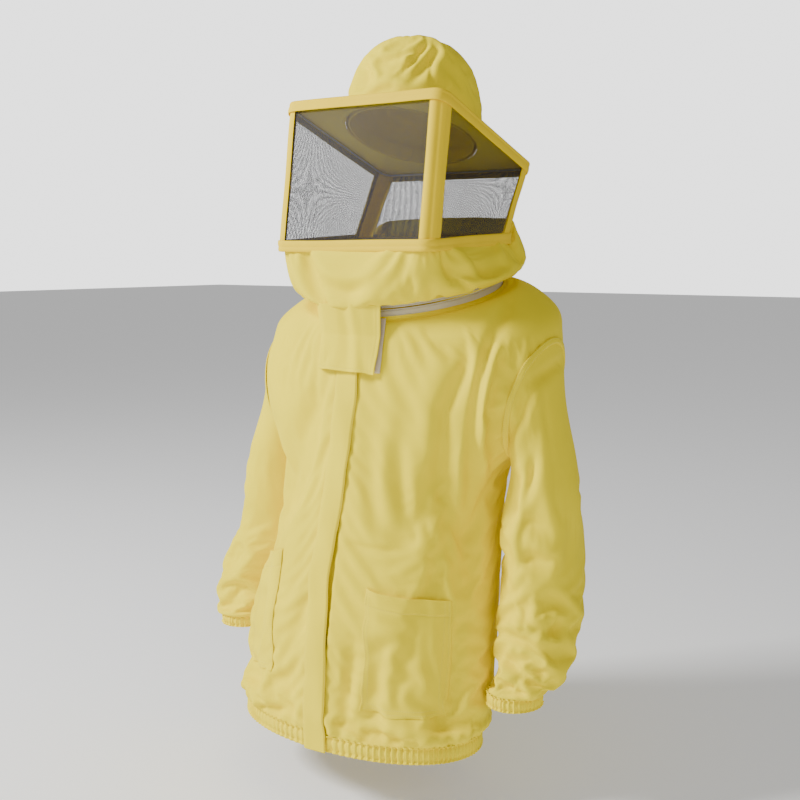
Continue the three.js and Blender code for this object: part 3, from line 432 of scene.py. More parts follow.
LEFT_SLEEVE = np.array([
    [238, 4, -250, 46, 80], [234, 5, -285, 51, 78], [233, 7, -340, 56, 76],
    [234, 8, -388, 59, 74], [238, 0, -436, 59, 72], [242, -14, -484, 57, 68],
    [242, -32, -528, 53, 60], [234, -46, -558, 45, 50], [226, -55, -577, 38, 42]], float)
RIGHT_SLEEVE = np.array([
    [-256, 0, -250, 50, 80], [-260, 1, -285, 54, 78], [-267, 3, -340, 58, 76],
    [-276, 5, -386, 61, 74], [-294, -3, -430, 60, 72], [-310, -15, -472, 58, 67],
    [-318, -29, -516, 54, 60], [-316, -39, -542, 45, 50], [-313, -44, -556, 38, 42]], float)
ARMHOLES = {"left": ((250, -55), (187, -255)), "right": ((-252, -55), (-205, -255))}


def smooth_rows(table, position):
    """Catmull-Rom between table rows."""
    n = len(table)
    i = np.clip(np.floor(position).astype(int), 0, n - 2)
    f = (position - i)[:, None]
    p = [table[np.clip(i + k, 0, n - 1)] for k in (-1, 0, 1, 2)]
    return 0.5 * (2 * p[1] + (p[2] - p[0]) * f + (2 * p[0] - 5 * p[1] + 4 * p[2] - p[3]) * f ** 2
                  + (3 * p[1] - p[0] - 3 * p[2] + p[3]) * f ** 3)


def section_grid(table, position, columns, turn=0.0):
    rows = smooth_rows(table, position)[:, None, :]
    angle = around(columns)[None] + turn
    c, s = np.cos(angle), np.sin(angle)
    if table.shape[1] == 8:
        u, v = superellipse(angle, rows[..., 6])
        tilt = np.radians(rows[..., 5])
        return np.stack([rows[..., 0] + rows[..., 3] * u,
                         rows[..., 1] + rows[..., 4] * v * np.cos(tilt),
                         rows[..., 2] + rows[..., 4] * v * np.sin(tilt) - rows[..., 7] * u * u], -1)
    return np.stack([rows[..., 0] + rows[..., 3] * c, rows[..., 1] + rows[..., 4] * s,
                     rows[..., 2] + 0 * c], -1)


def even_rows(table, count, low=0.0, high=None):
    """Row positions that are evenly spaced along the cloth."""
    high = len(table) - 1 if high is None else high
    fine = np.linspace(low, high, 600)
    P = section_grid(table, fine, 24)
    length = np.linalg.norm(np.diff(P, axis=0), axis=-1).mean(1)
    total = np.concatenate([[0], np.cumsum(length)])
    return np.interp(np.linspace(0, total[-1], count), total, fine)


def ramp(x, low, high):
    t = np.clip((x - low) / (high - low), 0, 1)
    return t * t * (3 - 2 * t)


# ---- body cloth
BODY_FOLDS = [
    (13, 15, [(-133.5, 7.5), (-150, -60), (-172.5, -120), (-201, -180), (-213, -234)]),
    (6, 9, [(-72, -57), (-85.5, -72), (-99, -87), (-117, -138), (-132, -217.5)]),
    (6, 10.5, [(-84, -105), (-90, -150), (-103.5, -240)]),
    (8, 13.5, [(-4.5, -37.5), (0, -105), (7.5, -195)]),
    (-5, 12, [(-25.5, -45), (-28.5, -120), (-24, -195)]),
    (15, 12, [(159, 145.5), (138, 85.5), (123, 36), (111, -42), (106.5, -120), (102, -240)]),
    (-9, 9, [(150, 90), (135, 15), (129, -45), (133.5, -120)]),
    (9, 12, [(112.5, 90), (84, 30), (61.5, -7.5), (55.5, -82.5), (66, -180), (93, -240)]),
    (8, 9, [(162, 93), (148.5, 39), (141, -18)]),
    (-6, 13.5, [(93, 42), (82.5, -15), (78, -90)]),
    (5, 6, [(-75, -211.5), (-30, -217.5), (13.5, -214.5)]),
    (7, 10.5, [(-142.5, -300), (-154.5, -375), (-165, -435), (-160.5, -468)]),
    (8, 9, [(-180, -402), (-169.5, -450), (-162, -483)]),
    (9, 10.5, [(-72, -360), (-81, -435), (-85.5, -502.5)]),
    (-7, 10.5, [(-51, -375), (-66, -450), (-72, -502.5)]),
    (7, 9, [(-99, -375), (-102, -450), (-94.5, -495)]),
    (8, 12, [(-24, -360), (-34.5, -435), (-39, -510)]),
    (9, 10.5, [(54, -240), (45, -360), (60, -450), (69, -510)]),
    (8, 12, [(93, -315), (87, -420), (75, -517.5)]),
    (10, 12, [(-213, -240), (-216, -315), (-225, -375), (-222, -435)]),
    (-7, 12, [(-198, -300), (-204, -375), (-207, -435)]),
]


# Bowed folds across the back: degrees round the body, row and depth.
BACK_BOWS = ((60, 9.6, 7), (100, 10.4, -6), (128, 9.9, 7), (80, 12.6, 6), (112, 13.1, 6))


def body_shape():
    rows, columns = ((112, 208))
    position = even_rows(BODY, rows)
    P0 = section_grid(BODY, position, columns, math.radians(1.0))
    N0 = grid_normals(P0)
    z = P0[..., 2]
    ring = np.linalg.norm(P0 - (P0 @ RING_UP)[..., None] * RING_UP, axis=-1)
    collar = ramp(ring, 146, 158)
    front = np.exp(-((P0[..., 0] - np.interp(z, [-668, -56], [-30, -3])) / 20) ** 2) * (P0[..., 1] < -60)
    low = ramp(-z, 560, 640)
    pin = np.zeros(P0.shape[:2])
    pin[:3] = 1
    pin[-1] = 1
    pin = np.maximum(pin, 0.5 * (1 - ramp(ring, 150, 175)))
    pin = np.maximum(pin, 0.55 * front)
    grow_u = 1 + 0.014 * ramp(-z, 30, 160) + 0.03 * low
    grow_v = 1 + 0.012 * ramp(-z, 60, 200)
    grow_u = 1 + (grow_u - 1) * (1 - 0.7 * front)
    inward = 1 + 20 * ramp(-z, 20, 120)
    outward = 1.5 + 8 * ramp(-z, 30, 160) + 4 * low
    angle = around(columns)
    pleat = np.sin(angle * 46 + 3 * np.sin(angle * 5)) + 0.6 * np.sin(angle * 31 + 2)
    lift = creases(P0, N0, BODY_FOLDS) * collar
    lift = lift + 3.6 * pleat[None] * ramp(-z, 590, 652) ** 1.5 * (1 - front)
    rng = np.random.default_rng(5)
    behind = ramp(P0[..., 1], -30, 40)
    across = np.arange(columns)[None] / columns * 360
    for _ in range(26):
        at, lean, low_end = rng.uniform(20, 165), rng.uniform(-22, 22), rng.uniform(5.5, 14)
        reach, depth, wide = rng.uniform(1.2, 3.2), rng.uniform(-5, 9), rng.uniform(2.5, 5)
        along = (position[:, None] - low_end) / reach
        span = np.exp(-along ** 2)
        lift = lift - depth * span * np.exp(-((across - at - lean * along) / wide) ** 2) * behind
    for centre_at, height, depth in BACK_BOWS:
        bow = height + 0.5 * np.cos((across - centre_at) / 24)
        lift = lift - depth * np.exp(-((position[:, None] - bow) / 0.22) ** 2) * np.exp(
            -((across - centre_at) / 22) ** 2) * behind
    return settle(P0, grow_u, grow_v, pin, inward, outward, 26, 3, sag=260, lift=lift)


body_grid = body_shape()
body_fine = resample(body_grid, body_grid.shape[0] * 2 - 1, body_grid.shape[1] * 2, True)
fine_faces = grid_faces(body_fine.shape[0], body_fine.shape[1], True)
BODY_TREE = BVHTree.FromPolygons([tuple(v) for v in body_fine.reshape(-1, 3).tolist()], fine_faces)


def armhole(side):
    """Centre of an armhole, its plane's outward normal and its upward axis."""
    (x0, z0), (x1, z1) = ARMHOLES[side]
    up = np.array([x0 - x1, 0, z0 - z1], float)
    up /= np.linalg.norm(up)
    out = np.array([up[2], 0, -up[0]]) * (1 if side == "left" else -1)
    if out[0] * x0 < 0:
        out = -out
    centre = np.array([(x0 + x1) / 2, 0, (z0 + z1) / 2], float)
    return centre, out, up


ARMHOLE_CUT = 7
ZIP_HALF_GAP = 7
CHANNEL_HALF = 9
CHANNEL_DEPTH = 15


def body_cloth():
    P = body_fine.reshape(-1, 3)
    keep = np.ones(len(P), bool)
    for side in ARMHOLES:
        centre, out, _ = armhole(side)
        keep &= ~(((P - centre) @ out > ARMHOLE_CUT) & (P[:, 2] > -275))
    down = ZIP_END - ZIP_TOP
    t = (P[:, 2] - ZIP_TOP[2]) / down[2]
    middle = ZIP_TOP[0] + down[0] * t
    keep &= ~((np.abs(P[:, 0] - middle) < ZIP_HALF_GAP) & (P[:, 1] < -110)
              & (P[:, 2] < -46) & (P[:, 2] > -135))
    # A channel behind the placket leaves room for the slider and its pull.
    cover = np.exp(-((P[:, 0] - middle) / CHANNEL_HALF) ** 6) * (P[:, 1] < -100) * ramp(-P[:, 2], 125, 140)
    behind_zip = ZIP_TOP[1] + down[1] * t + 2.6 + 9 * ramp(-P[:, 2], 585, 622)
    P = P.copy()
    P[:, 1] += cover * np.maximum(behind_zip - P[:, 1], 0)
    return cloth_grid("body_cloth", P.reshape(body_fine.shape), True, COTTON, keep)


body = body_cloth()
declare(body, "jacket", "cotton", "front_panel_left", "front_panel_right", "back_panel")


def on_body(x, z, height):
    """Points at a height over the body cloth's front, and the cloth's normals there."""
    x, z = np.broadcast_arrays(np.asarray(x, float), np.asarray(z, float))
    points = np.zeros(x.shape + (3,))
    normals = np.zeros_like(points)
    for key in np.ndindex(x.shape):
        hit, normal, _, _ = BODY_TREE.ray_cast(Vector((x[key], -420, z[key])), Vector((0, 1, 0)))
        if hit is None:
            hit, normal, _, _ = BODY_TREE.find_nearest(Vector((x[key], -200, z[key])))
        if normal.y > 0:
            normal = -normal
        points[key], normals[key] = hit, normal
    for _ in range(3):
        padded = np.pad(normals, ((1, 1), (1, 1), (0, 0)), mode="edge")
        normals = (normals + padded[:-2, 1:-1] + padded[2:, 1:-1] + padded[1:-1, :-2] + padded[1:-1, 2:]) / 5
    normals = unit(normals)
    return points + normals * np.asarray(height)[..., None], normals


# ---- sleeves
SLEEVE_FOLDS = {
    "left": [
        (8, 7.5, [(195, 24), (222, 43.5), (252, 63)]),
        (7, 9, [(198, 18), (177, -30), (157.5, -70.5)]),
        (-5, 10.5, [(217.5, 22.5), (195, -30), (177, -75)]),
        (9, 9, [(204, -87), (193.5, -120), (181.5, -150)]),
        (7, 7.5, [(180, -105), (168, -135), (160.5, -159)]),
        (10, 10.5, [(147, -87), (162, -108), (148.5, -138)]),
        (8, 12, [(153, -150), (180, -172.5), (217.5, -186)]),
        (-8, 13.5, [(180, -195), (217.5, -217.5), (225, -228)]),
        (9, 10.5, [(172.5, -240), (195, -229.5), (228, -234)]),
        (-9, 13.5, [(168, -240), (163.5, -270), (168, -300)]),
        (11, 12, [(150, -217.5), (159, -270), (183, -318)]),
        (-8, 10.5, [(195, -318), (222, -315), (262.5, -309)]),
        (13, 9, [(192, -339), (222, -342), (249, -333)]),
        (-11, 10.5, [(141, -325.5), (189, -330), (240, -360)]),
        (13, 7.5, [(147, -342), (186, -354), (234, -382.5)]),
        (-10, 9, [(150, -354), (180, -378), (217.5, -393)]),
        (12, 7.5, [(180, -382.5), (207, -396), (222, -402)]),
        (-9, 7.5, [(180, -402), (202.5, -417), (219, -420)]),
        (12, 7.5, [(135, -369), (165, -396), (192, -417), (217.5, -429)]),
        (9, 7.5, [(129, -375), (135, -405), (124.5, -426)]),
        (8, 7.5, [(150, -435), (172.5, -420), (180, -441)]),
    ],
    "right": [
        (9, 7.5, [(-243, -217.5), (-252, -228), (-264, -240)]),
        (12, 9, [(-240, -277.5), (-252, -288), (-267, -300)]),
    ],
}


def calm_loop(loop, times):
    """Evens out a closed row of points or directions."""
    for _ in range(times):
        loop = (loop * 2 + np.roll(loop, 1, 0) + np.roll(loop, -1, 0)) / 4
    return loop


def sleeve_shape(side, sections):
    """A sleeve: a cap that leaves the armhole's seam, and its sections below."""
    sign = 1 if side == "left" else -1
    columns = 76
    centre, out, up = armhole(side)
    cap = 44
    angle = around(columns)
    seam = np.zeros((columns, 3))
    slope = np.zeros((columns, 3))
    for j, a in enumerate(angle):
        direction = up * math.cos(a) + np.array([0, 1, 0]) * math.sin(a)
        hit, normal, _, _ = BODY_TREE.ray_cast(Vector(centre), Vector(direction), 160)
        if hit is None:
            hit, normal, _, _ = BODY_TREE.find_nearest(Vector(centre + direction * 95))
        normal = np.array(normal)
        if normal @ direction < 0:
            normal = -normal
        seam[j] = np.array(hit) + normal * 1.6
        slope[j] = out - normal * (out @ normal)
    seam, slope = calm_loop(seam, 6), calm_loop(slope, 30)
    slope = unit(slope) * 0.75 + np.array([0, 0, -0.65])
    join = 2.0
    below = even_rows(sections, 52, join)
    cos, sin = np.cos(angle) * sign, np.sin(angle)
    rows = smooth_rows(sections, below)[:, None]
    lower = np.stack([rows[..., 0] + rows[..., 3] * cos, rows[..., 1] + rows[..., 4] * sin,
                      rows[..., 2] + 0 * cos], -1)
    target = lower[0]
    span = np.linalg.norm(target - seam, axis=1)[:, None]
    t = np.linspace(0, 1, cap, endpoint=False)[:, None, None]
    h00, h10 = 2 * t ** 3 - 3 * t ** 2 + 1, t ** 3 - 2 * t ** 2 + t
    h01, h11 = -2 * t ** 3 + 3 * t ** 2, t ** 3 - t ** 2
    upper = (h00 * seam + h10 * (slope * span) + h01 * target
             + h11 * (np.array([0, 0, -1.0]) * span))
    P0 = np.concatenate([upper, lower])
    N0 = grid_normals(P0)
    z = P0[..., 2]
    v = np.linspace(0, 1, len(P0))[:, None]
    pin = np.zeros(P0.shape[:2])
    pin[:2] = 1
    pin[-1] = 1
    forearm = ramp(-z, 400, 500)
    grow_u = 1 + 0.05 * ramp(-z, 500, 560)
    grow_v = 1 + 0.015 * ramp(v, 0.05, 0.3) + 0.06 * forearm
    inward = 1 + 17 * ramp(v, 0.02, 0.15)
    outward = 1.5 + 8 * ramp(v, 0.02, 0.15) + 6 * forearm
    lift = creases(P0, N0, SLEEVE_FOLDS[side])
    pleat = np.sin(angle * 17 + 2 * np.sin(angle * 3))
    lift = lift + 2.5 * pleat[None] * ramp(-z, 565, 590)
    rng = np.random.default_rng(11 if side == "left" else 12)
    hidden = 1 - np.clip(((CAMERA_PLACE - P0) * N0).sum(-1) / 1800 * 3, 0, 1)
    for _ in range(12):
        v0, a0, k = rng.uniform(0.35, 0.97), rng.uniform(0, 6.28), rng.uniform(-0.06, 0.06)
        swing = np.cos(angle[None] - a0)
        lift = lift - rng.uniform(4, 11) * np.exp(-((v - v0 - k * swing) / 0.016) ** 2) * ramp(
            swing, -0.2, 0.6) * hidden
    return settle(P0, grow_u, grow_v, pin, inward, outward, 24, 21 + sign,
                  sag=220, bend=0.1, lift=lift)


sleeve_grids = {}
for side, sections in (("left", LEFT_SLEEVE), ("right", RIGHT_SLEEVE)):
    coarse = sleeve_shape(side, sections)
    sleeve_grids[side] = resample(coarse, coarse.shape[0] * 2 - 1, coarse.shape[1] * 2, True)
    sleeve = cloth_grid(f"{side}_sleeve_cloth", sleeve_grids[side], True, COTTON)
    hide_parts(f"{side}_sleeve_head", f"{side}_sleeve")
    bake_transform(sleeve)


# ---- seams and stitches
STITCH, STITCH_GAP, STITCH_GIRTH = 2.3, 1.2, 0.34
THREAD = node_material("thread", (0.95, 0.84, 0.16), 0.6, grain=0.03)


def stitch_rows(name, rows):
    """Short raised stitches along lines of (points, normals), gathered into one mesh."""
    points, faces = [], []
    for line, normals in rows:
        line, normals = np.asarray(line, float), np.asarray(normals, float)
        steps = np.linalg.norm(np.diff(line, axis=0), axis=1)
        total = np.concatenate([[0], np.cumsum(steps)])
        for start in np.arange(0.5, total[-1] - STITCH, STITCH + STITCH_GAP):
            at = np.array([start, start + STITCH / 2, start + STITCH])
            mid = np.stack([np.interp(at, total, line[:, k]) for k in range(3)], -1)
            up = np.array([np.interp(at[1], total, normals[:, k]) for k in range(3)])
            along = mid[2] - mid[0]
            side, up = unit(np.cross(up, along)), unit(up)
            base = len(points)
            points.extend([mid[0], mid[2]])
            for a, b in ((1, 0.2), (0.4, 1.0), (-0.4, 1.0), (-1, 0.2)):
                points.append(mid[1] + side * a * STITCH_GIRTH * 1.3 + up * b * STITCH_GIRTH * 1.4)
            faces += [[base, base + k, base + k + 1] for k in (2, 3, 4)]
            faces += [[base + 1, base + k + 1, base + k] for k in (2, 3, 4)]
            faces += [[base, base + 5, base + 1, base + 2]]
    return add_mesh(name, np.array(points), faces, THREAD)


def armhole_seam(side):
    """A felled seam laid over the armhole, with its two rows of stitches."""
    grid = sleeve_grids[side]
    outer, inner, line = grid[3], grid[0], grid[1]
    tangent = unit(np.roll(line, -1, 0) - np.roll(line, 1, 0))
    across = outer - inner
    across = unit(across - tangent * (across * tangent).sum(1, keepdims=True))
    normal = np.cross(tangent, across)
    normal *= np.sign((normal * (line - line.mean(0))).sum(1, keepdims=True))
    for _ in range(3):
        normal = (normal + np.roll(normal, 1, 0) + np.roll(normal, -1, 0)) / 3
    normal = unit(normal)
    shape = [(-5.5, 0.3), (-5.0, 1.5), (-3.4, 1.3), (-1.0, 1.9), (1.8, 1.9), (3.0, 1.4), (4.0, 0.9),
             (4.3, -0.4), (0, -0.6)]
    stations = [(line[k], across[k], normal[k]) for k in range(len(line))]
    band = sweep(f"{side}_armhole_seam", stations, shape, COTTON)
    loop = np.concatenate([line, line[:1]])
    lift = np.concatenate([normal, normal[:1]])
    shift = np.concatenate([across, across[:1]])
    rows = [(loop + shift * a + lift * b, lift) for a, b in ((-3.4, 1.3), (2.4, 1.6))]
    thread = stitch_rows(f"{side}_armhole_stitches", rows)
    for piece in (band, thread):
        declare(piece, "jacket", "cotton")


for side in ARMHOLES:
    armhole_seam(side)


# ---- gathered bands
def gathered_band(name, rim, height, pleats, depth, seed, lip, gap=0.0, channel=None):
    """A casing gathered by the elastic inside it. rim is a closed line of points at its top, gap
    marks the columns that stay flat, and at channel the band steps back to leave the zip room."""
    rng = np.random.default_rng(seed)
    count = len(rim)
    turn = around(count)
    wobble = np.cumsum(rng.normal(size=count))
    wobble -= np.linspace(wobble[0], wobble[-1], count)
    wobble = wobble / (np.abs(wobble).max() + 1e-9) * 2.4
    ruffle = np.sin(turn * pleats + wobble) * (0.75 + 0.25 * np.sin(turn * 13 + 1))
    ruffle += 0.35 * np.sin(turn * pleats * 2.1 + 2 * wobble)
    flat = np.ones(count) * (1 - gap)
    tangent = np.roll(rim, -1, 0) - np.roll(rim, 1, 0)
    outward = unit(np.cross(tangent, [0, 0, 1.0]))
    if ((rim - rim.mean(0)) * outward).sum() < 0:
        outward = -outward
    profile = [(0.0, 0.6), (0.07, 1.0), (0.14, -0.4), (0.2, 0.0), (0.35, 0.8), (0.5, 1.0),
               (0.65, 0.8), (0.8, 0.1), (0.88, 0.2), (1.0, 1.2), (1.03, -0.6)]
    rows = []
    for t, puff in profile:
        swell = (0.45 + 0.55 * abs(2 * t - 1)) * depth
        radial = puff * 1.6 + ruffle * swell * flat
        drop = -height * t + 0.7 * ruffle * flat * (t > 0.9)
        rows.append(rim + outward * radial[:, None] + np.array([0, 0, 1.0]) * drop[:, None])
    inner = rows[-1] - outward * (lip * 0.35)
    inner2 = rim - outward * (lip * 0.45) + [0, 0, -2.0]
    P = np.array(rows + [inner, inner2])
    P = resample(P, 34, count, True)
    if channel is not None:
        P[..., 1] += CHANNEL_DEPTH * np.exp(-((P[..., 0] - channel) / CHANNEL_HALF) ** 6) * (P[..., 1] < -150)
    return cloth_grid(name, P, True, COTTON)


def ellipse_rim(cx, cy, z, a, b, count, square=2.0):
    u, v = superellipse(around(count), square)
    return np.stack([cx + a * u, cy + b * v, z + 0 * u], -1)


hem_rim = ellipse_rim(-32, -88, HEM_Z + 1, 206.5, 118.5, 1100, 2.1)
HEM_FLAT_X, HEM_CHANNEL_X = -27, -29.5
flat_gap = np.exp(-((hem_rim[:, 0] - HEM_FLAT_X) / 19) ** 8) * (hem_rim[:, 1] < -88)
hem = gathered_band("hem_band", hem_rim, 25, 118, 2.3, 8, 12, flat_gap, HEM_CHANNEL_X)
declare(hem, "jacket", "cotton", "hem_casing")
for side, sections in (("left", LEFT_SLEEVE), ("right", RIGHT_SLEEVE)):
    cx, cy, cz, a, b = sections[-1]
    rim = ellipse_rim(cx, cy, cz + 0.5, a, b, 420)
    cuff = gathered_band(f"{side}_cuff_band", rim, 19.5, 34, 2.0, 9, 10)
    declare(cuff, f"{side}_sleeve", "cotton", f"{side}_cuff_casing")


def laid(x, z, heights, calm):
    """A sheet lying on the chest: it bridges the cloth's wrinkles, and never sinks below them."""
    lower = np.clip(z, HEM_Z + 6, -60)
    raw, _ = on_body(x, lower, 0 * x)
    P = raw.copy()
    for _ in range(calm):
        P[1:-1] = (P[:-2] + 2 * P[1:-1] + P[2:]) / 4
        P[:, 1:-1] = (P[:, :-2] + 2 * P[:, 1:-1] + P[:, 2:]) / 4
    y = np.minimum(P[..., 1] - heights, raw[..., 1] - 0.7 - 0.3 * np.minimum(heights, 4))
    for _ in range(2):
        y[1:-1] = (y[:-2] + 2 * y[1:-1] + y[2:]) / 4
    return np.stack([x + 0 * y, y, z + 0 * y], -1), lower


# ---- placket
def placket():
    z = np.linspace(-96, -676, 190)
    centre = np.interp(z, [-676, -600, -511, -417, -277, -158, -96],
                       [-22, -28, -33, -34, -19, -7, -5])
    w = np.array([-20, -19.4, -18, -14, -9, 0, 9, 14, 17.5, 19, 19.6])
    rise = np.array([1.0, 2.6, 4.0, 5.2, 5.8, 6.0, 5.8, 5.4, 5.0, 3.8, 2.2])
    x = centre[:, None] + w[None]
    zz = np.repeat(z[:, None], len(w), 1)
    heights = np.repeat(rise[None], len(z), 0)
    P, lower = laid(x, zz, heights, 10)
    P[..., 1] += (zz - lower) * 0.05
    P[..., 1] += (np.sin(zz / 31 + x / 9) * 0.8 + np.sin(zz / 13 + 1 + x / 14) * 0.35)
    P = resample(P, 380, 41, False)
    return P, grid_normals_open(P)


P, N = placket()
strip = thick_grid("placket_strip", P, N, 1.2, COTTON)
edge_rows = [(P[8:-14, c] + N[8:-14, c] * 0.1, N[8:-14, c]) for c in (3, -4)]
placket_thread = stitch_rows("placket_stitches", edge_rows)
declare(placket_thread, "jacket", "cotton")
declare(strip, "jacket", "cotton", "placket")


# ---- pockets
POCKETS = {
    "left": {"x": (47, 152), "top": (-427, -444), "bottom": (-606, -612)},
    "right": {"x": (-214, -127), "top": (-428, -398), "bottom": (-602, -584)},
}


def pocket(side):
    spec = POCKETS[side]
    s = np.linspace(0, 1, 56)[None]
    t = np.linspace(0, 1, 80)[:, None]
    x = between(spec["x"], s) + 0 * t
    z = between((between(spec["top"], s), between(spec["bottom"], s)), t)
    edge = (np.minimum(np.minimum(s, 1 - s) * 5, 1) * np.minimum((1 - t) * 8, 1)) ** 0.5
    gape = 5.5 * np.exp(-t * 4) * np.sin(np.pi * s) ** 0.8
    height = 1.4 + 2.2 * edge + gape + 1.2 * np.sin(x / 11 + z / 40) * edge
    P, _ = laid(x, z, height, 6)
    P = resample(P, 130, 90, False)
    N = grid_normals_open(P)
    tt = np.linspace(0, 1, 130)[:, None]
    ss = np.linspace(0, 1, 90)[None]
    hem_line = np.exp(-((tt - 0.135) / 0.006) ** 2) * 0.7
    side_line = np.exp(-((np.minimum(ss, 1 - ss) - 0.03) / 0.008) ** 2) * 0.5
    fold = 0.5 * ramp(0.135 - tt, 0.0, 0.01)
    P = P + N * (fold - hem_line - side_line)[..., None]
    rows = [(P[17, 2:-2], N[17, 2:-2])]
    for c in (2, 6, -3, -7):
        rows.append((P[2:-4, c], N[2:-4, c]))
    rows += [(P[-4, 3:-3], N[-4, 3:-3]), (P[-8, 7:-7], N[-8, 7:-7])]
    thread = stitch_rows(f"{side}_pocket_stitches", rows)
    declare(thread, "jacket", "cotton")
    cloth = thick_grid(f"{side}_pocket_cloth", P, N, 0.9, COTTON)
    declare(cloth, "jacket", "cotton", f"pocket_{side}")


for side in POCKETS:
    pocket(side)


# ---- neck flap
def flap():
    s = np.linspace(0, 1, 34)[None]
    t = np.linspace(0, 1, 34)[:, None]
    x = -64 + (120 - 11 * t) * s + t
    z = -22 - (94 + 4 * s) * t
    rise = np.interp(s.ravel(), [0, 0.06, 0.16, 0.4, 0.62, 0.8, 0.9, 1],
                     [2, 5.5, 11, 13.5, 13.5, 12, 9, 8.5])[None]
    rise = rise + 2.2 * np.exp(-((s - 0.62 - 0.1 * t) / 0.07) ** 2) * (1 - 0.4 * t)
    rise = rise - 2.8 * np.exp(-((s - 0.48 - 0.12 * t) / 0.08) ** 2) * (1 - 0.6 * t)
    rise = rise - 1.5 * np.exp(-((s - 0.8) / 0.06) ** 2) * t + 1.6 * t * np.sin(s * 9)
    clamped = np.minimum(z, -66 + 0 * x)
    P, N = on_body(x, clamped, rise)
    P[..., 2] += z - clamped
    P[..., 1] -= np.maximum(z + 66, 0) * 0.16
    P = resample(P, 90, 90, False)
    N = grid_normals_open(P)
    tt = np.linspace(0, 1, 90)[:, None]
    ss = np.linspace(0, 1, 90)[None]
    groove = np.exp(-((1 - ss - 0.045) / 0.009) ** 2) + np.exp(-((1 - tt - 0.045) / 0.009) ** 2)
    P = P - N * (0.5 * groove)[..., None]
    return P, N


flap_grid, flap_normals = flap()
flap_cloth = thick_grid("neck_flap_cloth", flap_grid, flap_normals, 1.6, COTTON)
flap_thread = stitch_rows("flap_stitches", [
    (flap_grid[4:-4, -5], flap_normals[4:-4, -5]), (flap_grid[-5, 4:-4], flap_normals[-5, 4:-4])])
declare(flap_thread, "flap", "cotton")
declare(flap_cloth, "flap", "cotton", "neck_flap")
strip_grid = flap_grid[14:86, 70:88] - flap_normals[14:86, 70:88] * 2.0
hook = thick_grid("hook_strip", strip_grid, flap_normals[14:86, 70:88], 1.3, BEIGE)
declare(hook, "flap", "hook_and_loop", "hook_patch")
xs = np.linspace(30, 51, 10)[None] + np.linspace(4, 0, 24)[:, None]
zs = np.linspace(-40, -118, 24)[:, None] + 0 * xs
clamp = np.minimum(zs, -60)
P, N = on_body(xs, clamp, np.full(xs.shape, 3.2))
P[..., 2] += zs - clamp
P[..., 1] += np.maximum(zs + 60, 0) * 0.1
loop = thick_grid("loop_strip", P, N, 1.8, BEIGE)
declare(loop, "jacket", "hook_and_loop", "loop_patch")


# ---- neck zip tapes
def ring_stations(count, start=-95.0, turn=350.0):
    angles = np.radians(np.linspace(start, start + turn, count))
    return [(np.zeros(3), np.array([math.cos(a), 0, 0]) + RING_BACK * math.sin(a), RING_UP) for a in angles]


def round_profile(cx, cy, r, count=8):
    return [(cx + r * math.cos(2 * math.pi * k / count), cy + r * math.sin(2 * math.pi * k / count))
            for k in range(count)]


stations = ring_stations(300)
lower_tape = sweep("neck_tape_lower", stations, [
    (136.9, 0.4), (137.4, -1.5), (140.6, -6), (140.9, -8), (140.9, -19), (141.9, -19), (142.0, -8),
    (141.9, -5.6), (138.5, -1.2), (137.9, 0.4)], TAPE, closed=False)
upper_tape = sweep("neck_tape_upper", stations, [
    (136.3, 6.7), (137.5, 6.7), (137.5, 17.5), (136.3, 17.5)], TAPE, closed=False)
coils = []
for name, height in (("lower", 1.6), ("upper", 5.4)):
    many = ring_stations(900)
    pulse = 1 + 0.16 * np.sign(np.sin(np.arange(900) * 2.1))
    shapes = np.array([[(137 + (a - 137) * k, height + (b - height) * k)
                        for a, b in round_profile(137, height, 1.0)] for k in pulse])
    coil = sweep(f"neck_coil_{name}", many, shapes, TAPE, closed=False)
    coils.append(coil)
for tape, coil, holder, name in ((lower_tape, coils[0], "jacket", "lower"),
                                 (upper_tape, coils[1], "hood", "upper")):
    declare(tape, holder, "zip_tape", f"neck_zip_tape_{name}")
    declare(coil, holder, "zip_tape", f"neck_zip_coil_{name}")


# ---- hood frames
HOOD_HALF = 142.5
HOOD_CORNER = 20
BRIM = ((-125, 273), (127, 181))
HOOP = ((-155, 61), (75, 74))


def frame_axes(edges):
    """Middle of a tilted frame, its backward and upward axes and half its depth."""
    front, back = (np.array([0, y, z], float) for y, z in edges)
    depth = np.linalg.norm(back - front)
    along = (back - front) / depth
    return (front + back) / 2, along, np.cross([1, 0, 0], along), depth / 2


def frame_line(edges, inset, per_edge=20, arc=8):
    """Closed line round a rounded rectangle: points, outward axes and the frame's normal."""
    middle, along, up, half = frame_axes(edges)
    half -= inset
    width = HOOD_HALF - inset
    r = HOOD_CORNER - inset
    points, axes = [], []
    for sx, sy, start in ((1, 1, 0), (-1, 1, 90), (-1, -1, 180), (1, -1, 270)):
        for i in range(arc + 1):
            a = math.radians(start + 90 * i / arc)
            axis = np.array([math.cos(a), 0, 0]) + along * math.sin(a)
            points.append(middle + np.array([sx * (width - r), 0, 0]) + along * sy * (half - r) + axis * r)
            axes.append(axis)
        nx, ny = -sy, sx
        a = math.radians(start + 90)
        axis = np.array([math.cos(a), 0, 0]) + along * math.sin(a)
        target = middle + np.array([nx * (width - r), 0, 0]) + along * ny * (half - r) + axis * r
        origin = points[-1]
        for i in range(1, per_edge):
            points.append(origin + (target - origin) * i / per_edge)
            axes.append(axis)
    return np.array(points), np.array(axes), up


